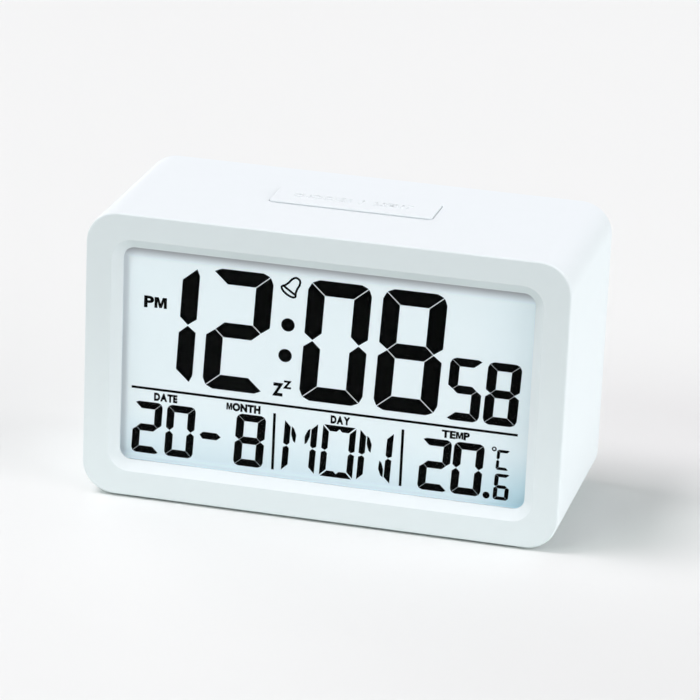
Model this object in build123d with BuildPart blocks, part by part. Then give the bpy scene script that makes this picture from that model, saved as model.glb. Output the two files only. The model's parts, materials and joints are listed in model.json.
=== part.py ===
from build123d import *
from math import ceil, cos, hypot, pi, sin, sqrt
import os

# A bedside alarm clock: a straight box case with a large LCD behind a bevelled window, a press bar
# in the top wall, and a rear cover that carries the keys, slide switch, sounder and battery bay.
# Millimetres. X runs to the right seen from the front, Y to the back, Z up from the table.

# Shared clearances and cuts
OVERRUN = 0.5
FIT_GAP = 0.15

# Main case: front frame and walls in one moulding
CASE_WIDTH = 135.0
CASE_HEIGHT = 82.0
CASE_DEPTH = 58.0
CASE_CORNER_RADIUS = 9.0
CASE_WALL = 2.2
FRONT_WALL = 2.8
FRONT_EDGE_RADIUS = 0.6
REAR_EDGE_RADIUS = 0.6
RIM_WALL = 1.2
FRAME_MARGIN = 7.3
BEVEL_WIDTH = 2.7
BEVEL_DEPTH = 2.2
LIP_CORNER_RADIUS = 3.3
BEVEL_EDGE_RADIUS = 0.3

# Feet
FOOT_RADIUS = 4.5
FOOT_PROUD = 0.6
FOOT_RECESS = 0.5
FOOT_INSET = 13.0

# Display stack, from the window back to the board
TAPE_THICKNESS = 0.3
TAPE_WIDTH = 1.8
WINDOW_THICKNESS = 1.2
GASKET_THICKNESS = 0.4
GASKET_WIDTH = 1.0
LCD_GLASS = 1.1
LCD_OVERLAP = 1.6
LCD_LEDGE = 2.2
DIFFUSER_THICKNESS = 0.3
LIGHT_GUIDE_THICKNESS = 3.0
CARRIER_WALL = 0.9
CARRIER_FLOOR = 1.4
ZEBRA_THICKNESS = 1.4
ZEBRA_END_INSET = 6.0
LED_STRIP_THICKNESS = 0.8
LED_STRIP_LENGTH = 48.0
LED_STRIP_WIDTH = 2.4
LED_DEPTH = 1.2
LED_LENGTH = 3.4
LED_WIDTH = 2.0
LED_PITCH = 19.0
LED_GAP = 0.3

# Main board and what is soldered on it
BOARD_THICKNESS = 1.6
BOARD_GAP = 0.6
BLOB_RADIUS = 8.0
BLOB_HEIGHT = 2.2
BLOB_DROP = 6.0
CRYSTAL_RADIUS = 1.5
CRYSTAL_LENGTH = 8.0
CRYSTAL_X = 17.0
CAPACITOR_RADIUS = 2.5
CAPACITOR_HEIGHT = 7.0
CAPACITOR_GAP = 1.5
CAPACITOR_PITCH = 9.0
CAPACITOR_EDGE_RADIUS = 0.4

# Screws: one small size inside, one larger size for the rear cover
BOSS_RADIUS = 2.2
BOSS_GAP = 0.4
BOSS_X = 26.0
SMALL_SCREW_RADIUS = 1.0
SMALL_SCREW_LENGTH = 6.0
SMALL_HEAD_RADIUS = 1.8
SMALL_HEAD_HEIGHT = 1.3
PILLAR_RADIUS = 2.5
PILLAR_INSET = 15.0
COVER_SCREW_RADIUS = 1.3
COVER_SCREW_LENGTH = 9.0
COVER_HEAD_RADIUS = 2.2
COVER_HEAD_HEIGHT = 1.4
HEAD_EDGE_RADIUS = 0.5
SCREW_GAP = 0.05
SCREW_TIP_ROOM = 1.0

# Push switches, alike under the bar and behind the keys
TACT_SIZE = 6.0
TACT_HEIGHT = 3.3
TACT_PROUD = 1.1
TACT_TRAVEL = 0.5
PLUNGER_RADIUS = 1.6
PLUNGER_GAP = 0.1
PLUNGER_ENTRY = 1.4
SMALL_BOARD_THICKNESS = 1.2

# Press bar in the top wall
SNOOZE_LENGTH = 46.0
SNOOZE_WIDTH = 14.0
SNOOZE_CORNER_RADIUS = 1.4
SNOOZE_PROUD = 0.6
SNOOZE_SETBACK = 2.9
SNOOZE_GAP = 0.25
SNOOZE_EDGE_RADIUS = 0.4
SNOOZE_FLANGE = 1.2
SNOOZE_FLANGE_MARGIN = 1.8
SNOOZE_SKIN = 1.6
SNOOZE_RIB = 1.4
SNOOZE_BOSS_GAP = 1.0
SNOOZE_BOARD_WIDTH = 16.0
SNOOZE_BOARD_MARGIN = 1.4

# Rear cover
COVER_RECESS = 1.4
COVER_THICKNESS = 2.4
COVER_GAP = 0.15

# Keys and the board behind them
KEY_BOARD_LENGTH = 100.0
KEY_BOARD_HEIGHT = 12.0
KEY_SCREW_INSET = 3.2
BUTTON_NAMES = ["mode", "up", "down", "alarm"]
BUTTON_LENGTH = 9.0
BUTTON_HEIGHT = 5.2
BUTTON_CORNER_RADIUS = 2.2
BUTTON_PROUD = 0.8
BUTTON_EDGE_RADIUS = 0.4
BUTTON_GAP = 0.25
BUTTON_FLANGE = 1.0
BUTTON_FLANGE_MARGIN = 1.2
BUTTON_PITCH = 17.0
FIRST_BUTTON_X = 37.0

# Slide switch and its knob
SLIDE_X = -36.5
SLIDE_TRAVEL = 2.0
SLIDE_BODY_LENGTH = 8.6
SLIDE_BODY_WIDTH = 4.2
SLIDE_BODY_HEIGHT = 3.3
SLIDE_FLOOR = 0.9
SLIDE_ROOF = 0.8
SLIDE_GAP = 0.2
SHOE_LENGTH = 3.0
SHOE_WIDTH = 2.2
POST_SIZE = 1.6
KNOB_LENGTH = 4.0
KNOB_WIDTH = 3.4
KNOB_PROUD = 0.8
KNOB_EDGE_RADIUS = 0.3
KNOB_FLANGE = 0.9
KNOB_FLANGE_MARGIN = 2.6
KNOB_SOCKET = 0.6
KNOB_GROOVE = 0.4

# Temperature sensor and the vent slots behind it
THERMISTOR_X = -25.0
THERMISTOR_RADIUS = 1.2
THERMISTOR_HEIGHT = 2.6
VENT_LENGTH = 6.0
VENT_WIDTH = 1.0
VENT_PITCH = 2.2
VENT_COUNT = 3

# Sounder
BUZZER_RADIUS = 10.0
BUZZER_PLATE = 0.4
CERAMIC_RADIUS = 7.0
CERAMIC_THICKNESS = 0.3
BUZZER_RING_WALL = 1.5
BUZZER_RING_OVERLAP = 1.0
BUZZER_RING_HEIGHT = 2.5
SOUND_SLOT_WIDTH = 1.2
SOUND_SLOT_PITCH = 2.6
SOUND_SLOT_COUNT = 5
SOUND_EDGE = 1.6

# Cells, contacts and bay
CELL_RADIUS = 5.25
CELL_LENGTH = 44.5
CELL_NUB_RADIUS = 1.9
CELL_NUB_LENGTH = 1.0
CELL_EDGE_RADIUS = 0.5
CELL_SPACING = 0.6
CELL_SIDE_GAP = 0.4
CELL_TOP_GAP = 0.3
CELL_FLOOR_GAP = 0.2
BAY_RISE = 29.0
BAY_WALL = 1.4
BAY_RIB_WIDTH = 1.0
BAY_RIB_HEIGHT = 2.2
CONTACT_THICKNESS = 0.4
CONTACT_WIDTH = 8.4
CONTACT_HEIGHT = 9.0
SOLDER_TAB_WIDTH = 3.0
SOLDER_TAB_LENGTH = 2.5
SPRING_LENGTH = 4.2
SPRING_WIRE = 0.6
SPRING_BASE_RADIUS = 3.4
SPRING_TIP_RADIUS = 2.2
SPRING_TURNS = 2.5
SPRING_END_GAP = 0.1

# Battery door: tabs under the cover at its lower edge, a sprung latch at its upper edge
DOOR_MARGIN_X = 4.0
DOOR_MARGIN_Z = 2.6
DOOR_THICKNESS = 1.6
DOOR_CORNER_RADIUS = 2.0
DOOR_GAP = 0.2
DOOR_SKIN = 1.0
DOOR_TAB_WIDTH = 7.0
DOOR_TAB_THICKNESS = 1.0
DOOR_TAB_REACH = 2.0
DOOR_TAB_X = 17.0
DOOR_RIB_LENGTH = 12.0
DOOR_RIB_WIDTH = 0.8
DOOR_RIB_HEIGHT = 0.4
DOOR_RIB_PITCH = 2.0
DOOR_RIB_COUNT = 3
LATCH_WIDTH = 12.0
LATCH_THICKNESS = 0.8
LATCH_BEND_RADIUS = 0.9
LATCH_DEPTH = 3.0
LATCH_CATCH = 0.8
LATCH_EDGE_GAP = 0.3

# Leads and flat cables
LEAD_RADIUS = 0.5
LEAD_BEND_RADIUS = 3.0
LEAD_BOARD_STEP = 2.5
LEAD_LOOP = 5.0
LEAD_LOOP_STEP = 3.0
RIBBON_THICKNESS = 0.9
RIBBON_BEND_RADIUS = 4.0
KEY_RIBBON_WIDTH = 10.0
KEY_RIBBON_X = -14.0
KEY_RIBBON_DROP = 12.0
SNOOZE_RIBBON_WIDTH = 4.0
SNOOZE_RIBBON_DROP = 7.0

# Case places worked out from the sizes above
mid_z = FOOT_PROUD + CASE_HEIGHT / 2
case_top = FOOT_PROUD + CASE_HEIGHT
inner_top = case_top - CASE_WALL
front_y = -CASE_DEPTH / 2
back_y = CASE_DEPTH / 2
wall_back_y = front_y + FRONT_WALL
lip_y = front_y + BEVEL_DEPTH
inner_width = CASE_WIDTH - 2 * CASE_WALL
inner_height = CASE_HEIGHT - 2 * CASE_WALL
rim_width = CASE_WIDTH - 2 * RIM_WALL
rim_height = CASE_HEIGHT - 2 * RIM_WALL
bevel_width = CASE_WIDTH - 2 * FRAME_MARGIN
bevel_height = CASE_HEIGHT - 2 * FRAME_MARGIN
lip_width = bevel_width - 2 * BEVEL_WIDTH
lip_height = bevel_height - 2 * BEVEL_WIDTH
cover_outer_y = back_y - COVER_RECESS
cover_inner_y = cover_outer_y - COVER_THICKNESS
foot_x = CASE_WIDTH / 2 - FOOT_INSET
foot_y = CASE_DEPTH / 2 - FOOT_INSET
foot_points = [(x, y) for x in (-foot_x, foot_x) for y in (-foot_y, foot_y)]

# Display stack: each front face in turn, and the outlines that nest in each other
window_y = wall_back_y + TAPE_THICKNESS
window_back_y = window_y + WINDOW_THICKNESS
lcd_y = window_back_y + GASKET_THICKNESS
ledge_y = lcd_y + LCD_GLASS
lcd_back_y = ledge_y + LCD_GLASS
guide_y = lcd_back_y + DIFFUSER_THICKNESS
guide_back_y = guide_y + LIGHT_GUIDE_THICKNESS
board_y = guide_back_y + CARRIER_FLOOR
board_back_y = board_y + BOARD_THICKNESS
lcd_width = lip_width + 2 * LCD_OVERLAP
lcd_height = lip_height + 2 * LCD_OVERLAP
rear_glass_height = lcd_height - 2 * LCD_LEDGE
carrier_width = lcd_width + 2 * (FIT_GAP + CARRIER_WALL)
carrier_height = lcd_height + 2 * (FIT_GAP + CARRIER_WALL)
zebra_z = (lcd_height - LCD_LEDGE) / 2
zebra_length = lcd_width - 2 * ZEBRA_END_INSET
led_strip_x = lcd_width / 2 + FIT_GAP
led_x = led_strip_x - LED_STRIP_THICKNESS
guide_right_x = led_x - LED_DEPTH - LED_GAP
led_mid_y = (guide_y + guide_back_y) / 2

# Screw bosses stand between the carrier and the case walls
boss_z = carrier_height / 2 + BOSS_GAP + BOSS_RADIUS
boss_points = [(x, z) for x in (-BOSS_X, BOSS_X) for z in (-boss_z, boss_z)]
pillar_x = inner_width / 2 - PILLAR_INSET
pillar_z = carrier_height / 2 + BOSS_GAP + PILLAR_RADIUS
pillar_points = [(x, z) for x in (-pillar_x, pillar_x) for z in (-pillar_z, pillar_z)]
pillar_notch = PILLAR_RADIUS + BOSS_GAP

# Push switches: the bore leaves room under the plunger for its travel
tact_bore_depth = PLUNGER_ENTRY + TACT_TRAVEL + 2 * PLUNGER_GAP

# Press bar: heights from the top wall down to its board
snooze_top = case_top + SNOOZE_PROUD
snooze_flange_z = inner_top - SNOOZE_FLANGE
snooze_switch_z = snooze_flange_z - TACT_PROUD
snooze_board_z = snooze_switch_z - TACT_HEIGHT
snooze_board_bottom = snooze_board_z - SMALL_BOARD_THICKNESS
snooze_flange_length = SNOOZE_LENGTH + 2 * SNOOZE_FLANGE_MARGIN
snooze_flange_width = SNOOZE_WIDTH + 2 * SNOOZE_FLANGE_MARGIN
snooze_screw_x = snooze_flange_length / 2 + SNOOZE_BOSS_GAP + BOSS_RADIUS
snooze_screw_points = [(-snooze_screw_x, SNOOZE_SETBACK), (snooze_screw_x, SNOOZE_SETBACK)]
snooze_board_length = 2 * (snooze_screw_x + BOSS_RADIUS + SNOOZE_BOARD_MARGIN)

# Battery bay: depths from the door in to the floor
bay_z = BAY_RISE - CASE_HEIGHT / 2
door_y = cover_outer_y - DOOR_THICKNESS
cell_y = door_y - CELL_TOP_GAP - CELL_RADIUS
bay_floor_y = cell_y - CELL_RADIUS - CELL_FLOOR_GAP
bay_outer_y = bay_floor_y - BAY_WALL
cell_pitch = 2 * CELL_RADIUS + CELL_SPACING
upper_cell_z = bay_z + cell_pitch / 2
lower_cell_z = bay_z - cell_pitch / 2
bay_length = CELL_LENGTH + SPRING_LENGTH + 2 * CONTACT_THICKNESS
bay_height = cell_pitch + 2 * (CELL_RADIUS + CELL_SIDE_GAP)
contact_x = bay_length / 2 - CONTACT_THICKNESS / 2
contact_face_x = bay_length / 2 - CONTACT_THICKNESS
solder_tab_y = bay_outer_y - SOLDER_TAB_LENGTH

# Battery door, its tab slots and its latch
door_length = bay_length + 2 * DOOR_MARGIN_X
door_height = bay_height + 2 * DOOR_MARGIN_Z
door_low_z = bay_z - door_height / 2
door_high_z = bay_z + door_height / 2
skin_y = cover_outer_y - DOOR_SKIN
tab_back_y = skin_y - DOOR_GAP
tab_y = tab_back_y - DOOR_TAB_THICKNESS
tab_swing = hypot(cover_outer_y - tab_y, DOOR_TAB_REACH)
tab_slot_y = cover_outer_y - tab_swing - DOOR_GAP
tab_slot_low_z = door_low_z - tab_swing - DOOR_GAP
bay_low_z = bay_z - bay_height / 2
bay_high_z = bay_z + bay_height / 2
latch_outer_z = door_high_z - LATCH_THICKNESS / 2 - DOOR_GAP
latch_root_z = latch_outer_z - 2 * LATCH_BEND_RADIUS
latch_notch_z = latch_root_z + LATCH_THICKNESS / 2 + DOOR_GAP
latch_bend_y = door_y - LATCH_DEPTH
latch_slot_y = latch_bend_y - LATCH_BEND_RADIUS - LATCH_THICKNESS / 2 - LATCH_EDGE_GAP
catch_back_y = skin_y - DOOR_GAP
latch_slot_high_z = door_high_z + DOOR_GAP + LATCH_CATCH + LATCH_EDGE_GAP
latch_slot_width = LATCH_WIDTH + 2 * LATCH_EDGE_GAP

# Keys: midway between the battery door and the top wall, with depths from the cover in to their board
key_flange_y = cover_inner_y - BUTTON_FLANGE
key_switch_y = key_flange_y - TACT_PROUD
key_board_back_y = key_switch_y - TACT_HEIGHT
key_board_y = key_board_back_y - SMALL_BOARD_THICKNESS
key_z = (door_high_z + inner_height / 2) / 2
button_points = [(FIRST_BUTTON_X - i * BUTTON_PITCH, key_z) for i in range(len(BUTTON_NAMES))]
key_screw_x = KEY_BOARD_LENGTH / 2 - KEY_SCREW_INSET
key_screw_points = [(-key_screw_x, key_z), (key_screw_x, key_z)]

# Slide switch: depths from its board out to the knob
slide_top_y = key_board_back_y + SLIDE_BODY_HEIGHT
shoe_y = key_board_back_y + SLIDE_FLOOR + SLIDE_GAP
shoe_top_y = slide_top_y - SLIDE_ROOF - SLIDE_GAP
knob_flange_back_y = cover_inner_y - SLIDE_GAP
knob_flange_y = knob_flange_back_y - KNOB_FLANGE
post_tip_y = knob_flange_y + KNOB_SOCKET - FIT_GAP
knob_x = SLIDE_X - SLIDE_TRAVEL / 2

# Sounder midway between the battery door and the side wall
buzzer_ring_radius = BUZZER_RADIUS - BUZZER_RING_OVERLAP + BUZZER_RING_WALL
buzzer_x = (door_length + inner_width) / 4
buzzer_plate_back_y = cover_inner_y - BUZZER_RING_HEIGHT
ceramic_back_y = buzzer_plate_back_y - BUZZER_PLATE
ceramic_y = ceramic_back_y - CERAMIC_THICKNESS
sound_radius = buzzer_ring_radius - BUZZER_RING_WALL - SOUND_EDGE


def facing_front(depth):
    """Plane across the clock at a depth: local x to the right, local y up from the case's middle."""
    return Plane(origin=(0, depth, mid_z), x_dir=(1, 0, 0), z_dir=(0, -1, 0))


def from_behind(x, depth, z):
    """Plane for a hole or screw at a depth, its axis pointing out of the back."""
    return Plane(origin=(x, depth, mid_z + z), x_dir=(-1, 0, 0), z_dir=(0, 1, 0))


def wall_boss(points, radius):
    """Round bosses that run into the nearest top or bottom wall."""
    reach = inner_height / 2 + OVERRUN
    for x, z in points:
        with Locations((x, z)):
            Circle(radius)
            end = Align.MIN if z > 0 else Align.MAX
            Rectangle(2 * radius, reach - abs(z), align=(Align.CENTER, end))


def add_screws(planes, radius, length, head_radius, head_height):
    """Pan head screws, each head standing on its plane with the shank going in below it."""
    with Locations(*planes):
        Cylinder(radius, length, align=(Align.CENTER, Align.CENTER, Align.MAX))
        Cylinder(head_radius, head_height, align=(Align.CENTER, Align.CENTER, Align.MIN))


# Main case
with BuildPart() as main_case:
    with BuildSketch(facing_front(back_y)):
        RectangleRounded(CASE_WIDTH, CASE_HEIGHT, CASE_CORNER_RADIUS)
    extrude(amount=CASE_DEPTH)
    fillet(faces().sort_by(Axis.Y)[0].edges(), radius=FRONT_EDGE_RADIUS)
    fillet(faces().sort_by(Axis.Y)[-1].edges(), radius=REAR_EDGE_RADIUS)
    # The hollow, and the rebate that the rear cover drops into
    with BuildSketch(facing_front(back_y)):
        RectangleRounded(inner_width, inner_height, CASE_CORNER_RADIUS - CASE_WALL)
    extrude(amount=CASE_DEPTH - FRONT_WALL, mode=Mode.SUBTRACT)
    with BuildSketch(facing_front(back_y)):
        RectangleRounded(rim_width, rim_height, CASE_CORNER_RADIUS - RIM_WALL)
    extrude(amount=COVER_RECESS + COVER_THICKNESS, mode=Mode.SUBTRACT)
    # Window: straight lip, then the sloped bevel out to the front face
    with BuildSketch(facing_front(wall_back_y)):
        RectangleRounded(lip_width, lip_height, LIP_CORNER_RADIUS)
    extrude(amount=FRONT_WALL, mode=Mode.SUBTRACT)
    with BuildSketch(facing_front(lip_y)):
        RectangleRounded(lip_width, lip_height, LIP_CORNER_RADIUS)
    with BuildSketch(facing_front(front_y)):
        RectangleRounded(bevel_width, bevel_height, LIP_CORNER_RADIUS + BEVEL_WIDTH)
    loft(ruled=True, mode=Mode.SUBTRACT)
    fillet(faces().sort_by(Axis.Y)[0].inner_wires()[0].edges(), radius=BEVEL_EDGE_RADIUS)
    # Bosses for the main board and long pillars for the rear cover
    with BuildSketch(facing_front(board_y)):
        wall_boss(boss_points, BOSS_RADIUS)
    extrude(amount=board_y - wall_back_y)
    with BuildSketch(facing_front(board_y)):
        with Locations(*boss_points):
            Circle(SMALL_SCREW_RADIUS + SCREW_GAP)
    extrude(amount=SMALL_SCREW_LENGTH + SCREW_TIP_ROOM - BOARD_THICKNESS, mode=Mode.SUBTRACT)
    with BuildSketch(facing_front(cover_inner_y)):
        wall_boss(pillar_points, PILLAR_RADIUS)
    extrude(amount=cover_inner_y - wall_back_y)
    with BuildSketch(facing_front(cover_inner_y)):
        with Locations(*pillar_points):
            Circle(COVER_SCREW_RADIUS + SCREW_GAP)
    extrude(amount=COVER_SCREW_LENGTH + SCREW_TIP_ROOM, mode=Mode.SUBTRACT)
    # Opening for the press bar, and two bosses that hang beside it for its board
    with BuildSketch(Plane.XY.offset(case_top)):
        with Locations((0, SNOOZE_SETBACK)):
            RectangleRounded(
                SNOOZE_LENGTH + 2 * SNOOZE_GAP,
                SNOOZE_WIDTH + 2 * SNOOZE_GAP,
                SNOOZE_CORNER_RADIUS + SNOOZE_GAP,
            )
    extrude(amount=CASE_WALL + OVERRUN, both=True, mode=Mode.SUBTRACT)
    with BuildSketch(Plane.XY.offset(snooze_board_z)):
        with Locations(*snooze_screw_points):
            Circle(BOSS_RADIUS)
    extrude(amount=inner_top - snooze_board_z + OVERRUN)
    with BuildSketch(Plane.XY.offset(snooze_board_z)):
        with Locations(*snooze_screw_points):
            Circle(SMALL_SCREW_RADIUS + SCREW_GAP)
    extrude(amount=SMALL_SCREW_LENGTH - SMALL_BOARD_THICKNESS + SCREW_GAP, mode=Mode.SUBTRACT)
    # Shallow seats for the feet
    with BuildSketch(Plane.XY.offset(FOOT_PROUD)):
        with Locations(*foot_points):
            Circle(FOOT_RADIUS + FIT_GAP)
    extrude(amount=FOOT_RECESS, mode=Mode.SUBTRACT)

# Feet
with BuildPart() as rubber_feet:
    with BuildSketch(Plane.XY):
        with Locations(*foot_points):
            Circle(FOOT_RADIUS)
    extrude(amount=FOOT_PROUD + FOOT_RECESS)

# Display stack
with BuildPart() as window_tape:
    with BuildSketch(facing_front(window_y)):
        RectangleRounded(carrier_width, carrier_height, LIP_CORNER_RADIUS)
        RectangleRounded(
            carrier_width - 2 * TAPE_WIDTH,
            carrier_height - 2 * TAPE_WIDTH,
            LIP_CORNER_RADIUS,
            mode=Mode.SUBTRACT,
        )
    extrude(amount=TAPE_THICKNESS)

with BuildPart() as display_window:
    with BuildSketch(facing_front(window_back_y)):
        RectangleRounded(carrier_width, carrier_height, LIP_CORNER_RADIUS)
    extrude(amount=WINDOW_THICKNESS)

with BuildPart() as window_gasket:
    with BuildSketch(facing_front(lcd_y)):
        Rectangle(lcd_width, lcd_height)
        Rectangle(lcd_width - 2 * GASKET_WIDTH, lcd_height - 2 * GASKET_WIDTH, mode=Mode.SUBTRACT)
    extrude(amount=GASKET_THICKNESS)

with BuildPart() as lcd_panel:
    with BuildSketch(facing_front(ledge_y)):
        Rectangle(lcd_width, lcd_height)
    extrude(amount=LCD_GLASS)
    with BuildSketch(facing_front(lcd_back_y)):
        Rectangle(lcd_width, rear_glass_height)
    extrude(amount=LCD_GLASS)

with BuildPart() as diffuser_sheet:
    with BuildSketch(facing_front(guide_y)):
        Rectangle(lcd_width, rear_glass_height)
    extrude(amount=DIFFUSER_THICKNESS)

with BuildPart() as light_guide:
    with BuildSketch(facing_front(guide_back_y)):
        with Locations((guide_right_x, 0)):
            Rectangle(guide_right_x + lcd_width / 2, rear_glass_height, align=(Align.MAX, Align.CENTER))
    extrude(amount=LIGHT_GUIDE_THICKNESS)

with BuildPart() as backlight_strip:
    with BuildSketch(Plane.YZ.offset(led_x)):
        with Locations((led_mid_y, mid_z)):
            Rectangle(LED_STRIP_WIDTH, LED_STRIP_LENGTH)
    extrude(amount=LED_STRIP_THICKNESS)

with BuildPart() as backlight_leds:
    with BuildSketch(Plane.YZ.offset(led_x)):
        with Locations(*[(led_mid_y, mid_z + step * LED_PITCH) for step in (-1, 0, 1)]):
            Rectangle(LED_WIDTH, LED_LENGTH)
    extrude(amount=-LED_DEPTH)

with BuildPart() as display_carrier:
    with BuildSketch(facing_front(board_y)):
        Rectangle(carrier_width, carrier_height)
    extrude(amount=board_y - window_back_y)
    with BuildSketch(facing_front(guide_back_y)):
        Rectangle(lcd_width + 2 * FIT_GAP, lcd_height + 2 * FIT_GAP)
    extrude(amount=guide_back_y - window_back_y, mode=Mode.SUBTRACT)
    # Slots for the contact strips
    with BuildSketch(facing_front(board_y)):
        with Locations((0, -zebra_z), (0, zebra_z)):
            Rectangle(zebra_length + 2 * FIT_GAP, ZEBRA_THICKNESS + 2 * FIT_GAP)
    extrude(amount=CARRIER_FLOOR, mode=Mode.SUBTRACT)
    fillet(edges().filter_by(Axis.Y).group_by(Axis.X)[0], radius=CARRIER_WALL)
    fillet(edges().filter_by(Axis.Y).group_by(Axis.X)[-1], radius=CARRIER_WALL)

with BuildPart() as zebra_strips:
    with BuildSketch(facing_front(board_y)):
        with Locations((0, -zebra_z), (0, zebra_z)):
            Rectangle(zebra_length, ZEBRA_THICKNESS)
    extrude(amount=board_y - ledge_y)

# Main board, notched round the pillars
with BuildPart() as main_board:
    with BuildSketch(facing_front(board_back_y)):
        RectangleRounded(
            inner_width - 2 * BOARD_GAP,
            inner_height - 2 * BOARD_GAP,
            CASE_CORNER_RADIUS - CASE_WALL - BOARD_GAP,
        )
        for x, z in pillar_points:
            with Locations((x, z)):
                Circle(pillar_notch, mode=Mode.SUBTRACT)
                end = Align.MIN if z > 0 else Align.MAX
                Rectangle(2 * pillar_notch, inner_height / 2, align=(Align.CENTER, end), mode=Mode.SUBTRACT)
        with Locations(*boss_points):
            Circle(SMALL_SCREW_RADIUS + FIT_GAP, mode=Mode.SUBTRACT)
    extrude(amount=BOARD_THICKNESS)

with BuildPart() as controller_blob:
    blob_sphere_radius = (BLOB_RADIUS**2 + BLOB_HEIGHT**2) / (2 * BLOB_HEIGHT)
    with BuildSketch(Plane(origin=(0, board_back_y, mid_z - BLOB_DROP), x_dir=(1, 0, 0), z_dir=(0, 0, 1))):
        with BuildLine():
            Line((0, 0), (BLOB_RADIUS, 0))
            RadiusArc((BLOB_RADIUS, 0), (0, BLOB_HEIGHT), -blob_sphere_radius)
            Line((0, BLOB_HEIGHT), (0, 0))
        make_face()
    revolve(axis=Axis((0, board_back_y, mid_z - BLOB_DROP), (0, 1, 0)))

with BuildPart() as crystal:
    crystal_y = board_back_y + CRYSTAL_RADIUS + SCREW_GAP
    with BuildSketch(Plane.XY.offset(mid_z - BLOB_DROP - CRYSTAL_LENGTH / 2)):
        with Locations((CRYSTAL_X, crystal_y)):
            Circle(CRYSTAL_RADIUS)
    extrude(amount=CRYSTAL_LENGTH)

with BuildPart() as capacitors:
    capacitor_x = KEY_RIBBON_X - KEY_RIBBON_WIDTH / 2 - CAPACITOR_GAP - CAPACITOR_RADIUS
    with BuildSketch(facing_front(board_back_y)):
        with Locations((capacitor_x, 0), (capacitor_x, -CAPACITOR_PITCH)):
            Circle(CAPACITOR_RADIUS)
    extrude(amount=-CAPACITOR_HEIGHT)
    fillet(faces().group_by(Axis.Y)[-1].edges(), radius=CAPACITOR_EDGE_RADIUS)

with BuildPart() as board_screws:
    add_screws(
        [from_behind(x, board_back_y, z) for x, z in boss_points],
        SMALL_SCREW_RADIUS, SMALL_SCREW_LENGTH, SMALL_HEAD_RADIUS, SMALL_HEAD_HEIGHT,
    )
    fillet(faces().group_by(Axis.Y)[-1].edges(), radius=HEAD_EDGE_RADIUS)

# Press bar: cap through the top wall, flange under it, ribs and a pad over the switch
with BuildPart() as snooze_bar:
    with BuildSketch(Plane.XY.offset(inner_top)):
        with Locations((0, SNOOZE_SETBACK)):
            RectangleRounded(SNOOZE_LENGTH, SNOOZE_WIDTH, SNOOZE_CORNER_RADIUS)
    extrude(amount=snooze_top - inner_top)
    fillet(faces().sort_by(Axis.Z)[-1].edges(), radius=SNOOZE_EDGE_RADIUS)
    with BuildSketch(Plane.XY.offset(snooze_flange_z)):
        with Locations((0, SNOOZE_SETBACK)):
            RectangleRounded(snooze_flange_length, snooze_flange_width, SNOOZE_CORNER_RADIUS)
    extrude(amount=SNOOZE_FLANGE)
    pocket_length = (SNOOZE_LENGTH - 2 * SNOOZE_RIB - TACT_SIZE) / 2
    with BuildSketch(Plane.XY.offset(snooze_flange_z)):
        for side in (-1, 1):
            with Locations((side * (TACT_SIZE + pocket_length) / 2, SNOOZE_SETBACK)):
                Rectangle(pocket_length, SNOOZE_WIDTH - 2 * SNOOZE_RIB)
    extrude(amount=snooze_top - SNOOZE_SKIN - snooze_flange_z, mode=Mode.SUBTRACT)

with BuildPart() as snooze_plunger:
    with BuildSketch(Plane.XY.offset(snooze_switch_z - PLUNGER_ENTRY)):
        with Locations((0, SNOOZE_SETBACK)):
            Circle(PLUNGER_RADIUS)
    extrude(amount=TACT_PROUD + PLUNGER_ENTRY)

with BuildPart() as snooze_switch:
    with BuildSketch(Plane.XY.offset(snooze_board_z)):
        with Locations((0, SNOOZE_SETBACK)):
            Rectangle(TACT_SIZE, TACT_SIZE)
    extrude(amount=TACT_HEIGHT)
    with BuildSketch(Plane.XY.offset(snooze_switch_z)):
        with Locations((0, SNOOZE_SETBACK)):
            Circle(PLUNGER_RADIUS + PLUNGER_GAP)
    extrude(amount=-tact_bore_depth, mode=Mode.SUBTRACT)

with BuildPart() as snooze_board:
    with BuildSketch(Plane.XY.offset(snooze_board_bottom)):
        with Locations((0, SNOOZE_SETBACK)):
            Rectangle(snooze_board_length, SNOOZE_BOARD_WIDTH)
        with Locations(*snooze_screw_points):
            Circle(SMALL_SCREW_RADIUS + FIT_GAP, mode=Mode.SUBTRACT)
    extrude(amount=SMALL_BOARD_THICKNESS)

with BuildPart() as snooze_screws:
    add_screws(
        [Plane(origin=(x, y, snooze_board_bottom), z_dir=(0, 0, -1)) for x, y in snooze_screw_points],
        SMALL_SCREW_RADIUS, SMALL_SCREW_LENGTH, SMALL_HEAD_RADIUS, SMALL_HEAD_HEIGHT,
    )
    fillet(faces().group_by(Axis.Z)[0].edges(), radius=HEAD_EDGE_RADIUS)

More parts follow.
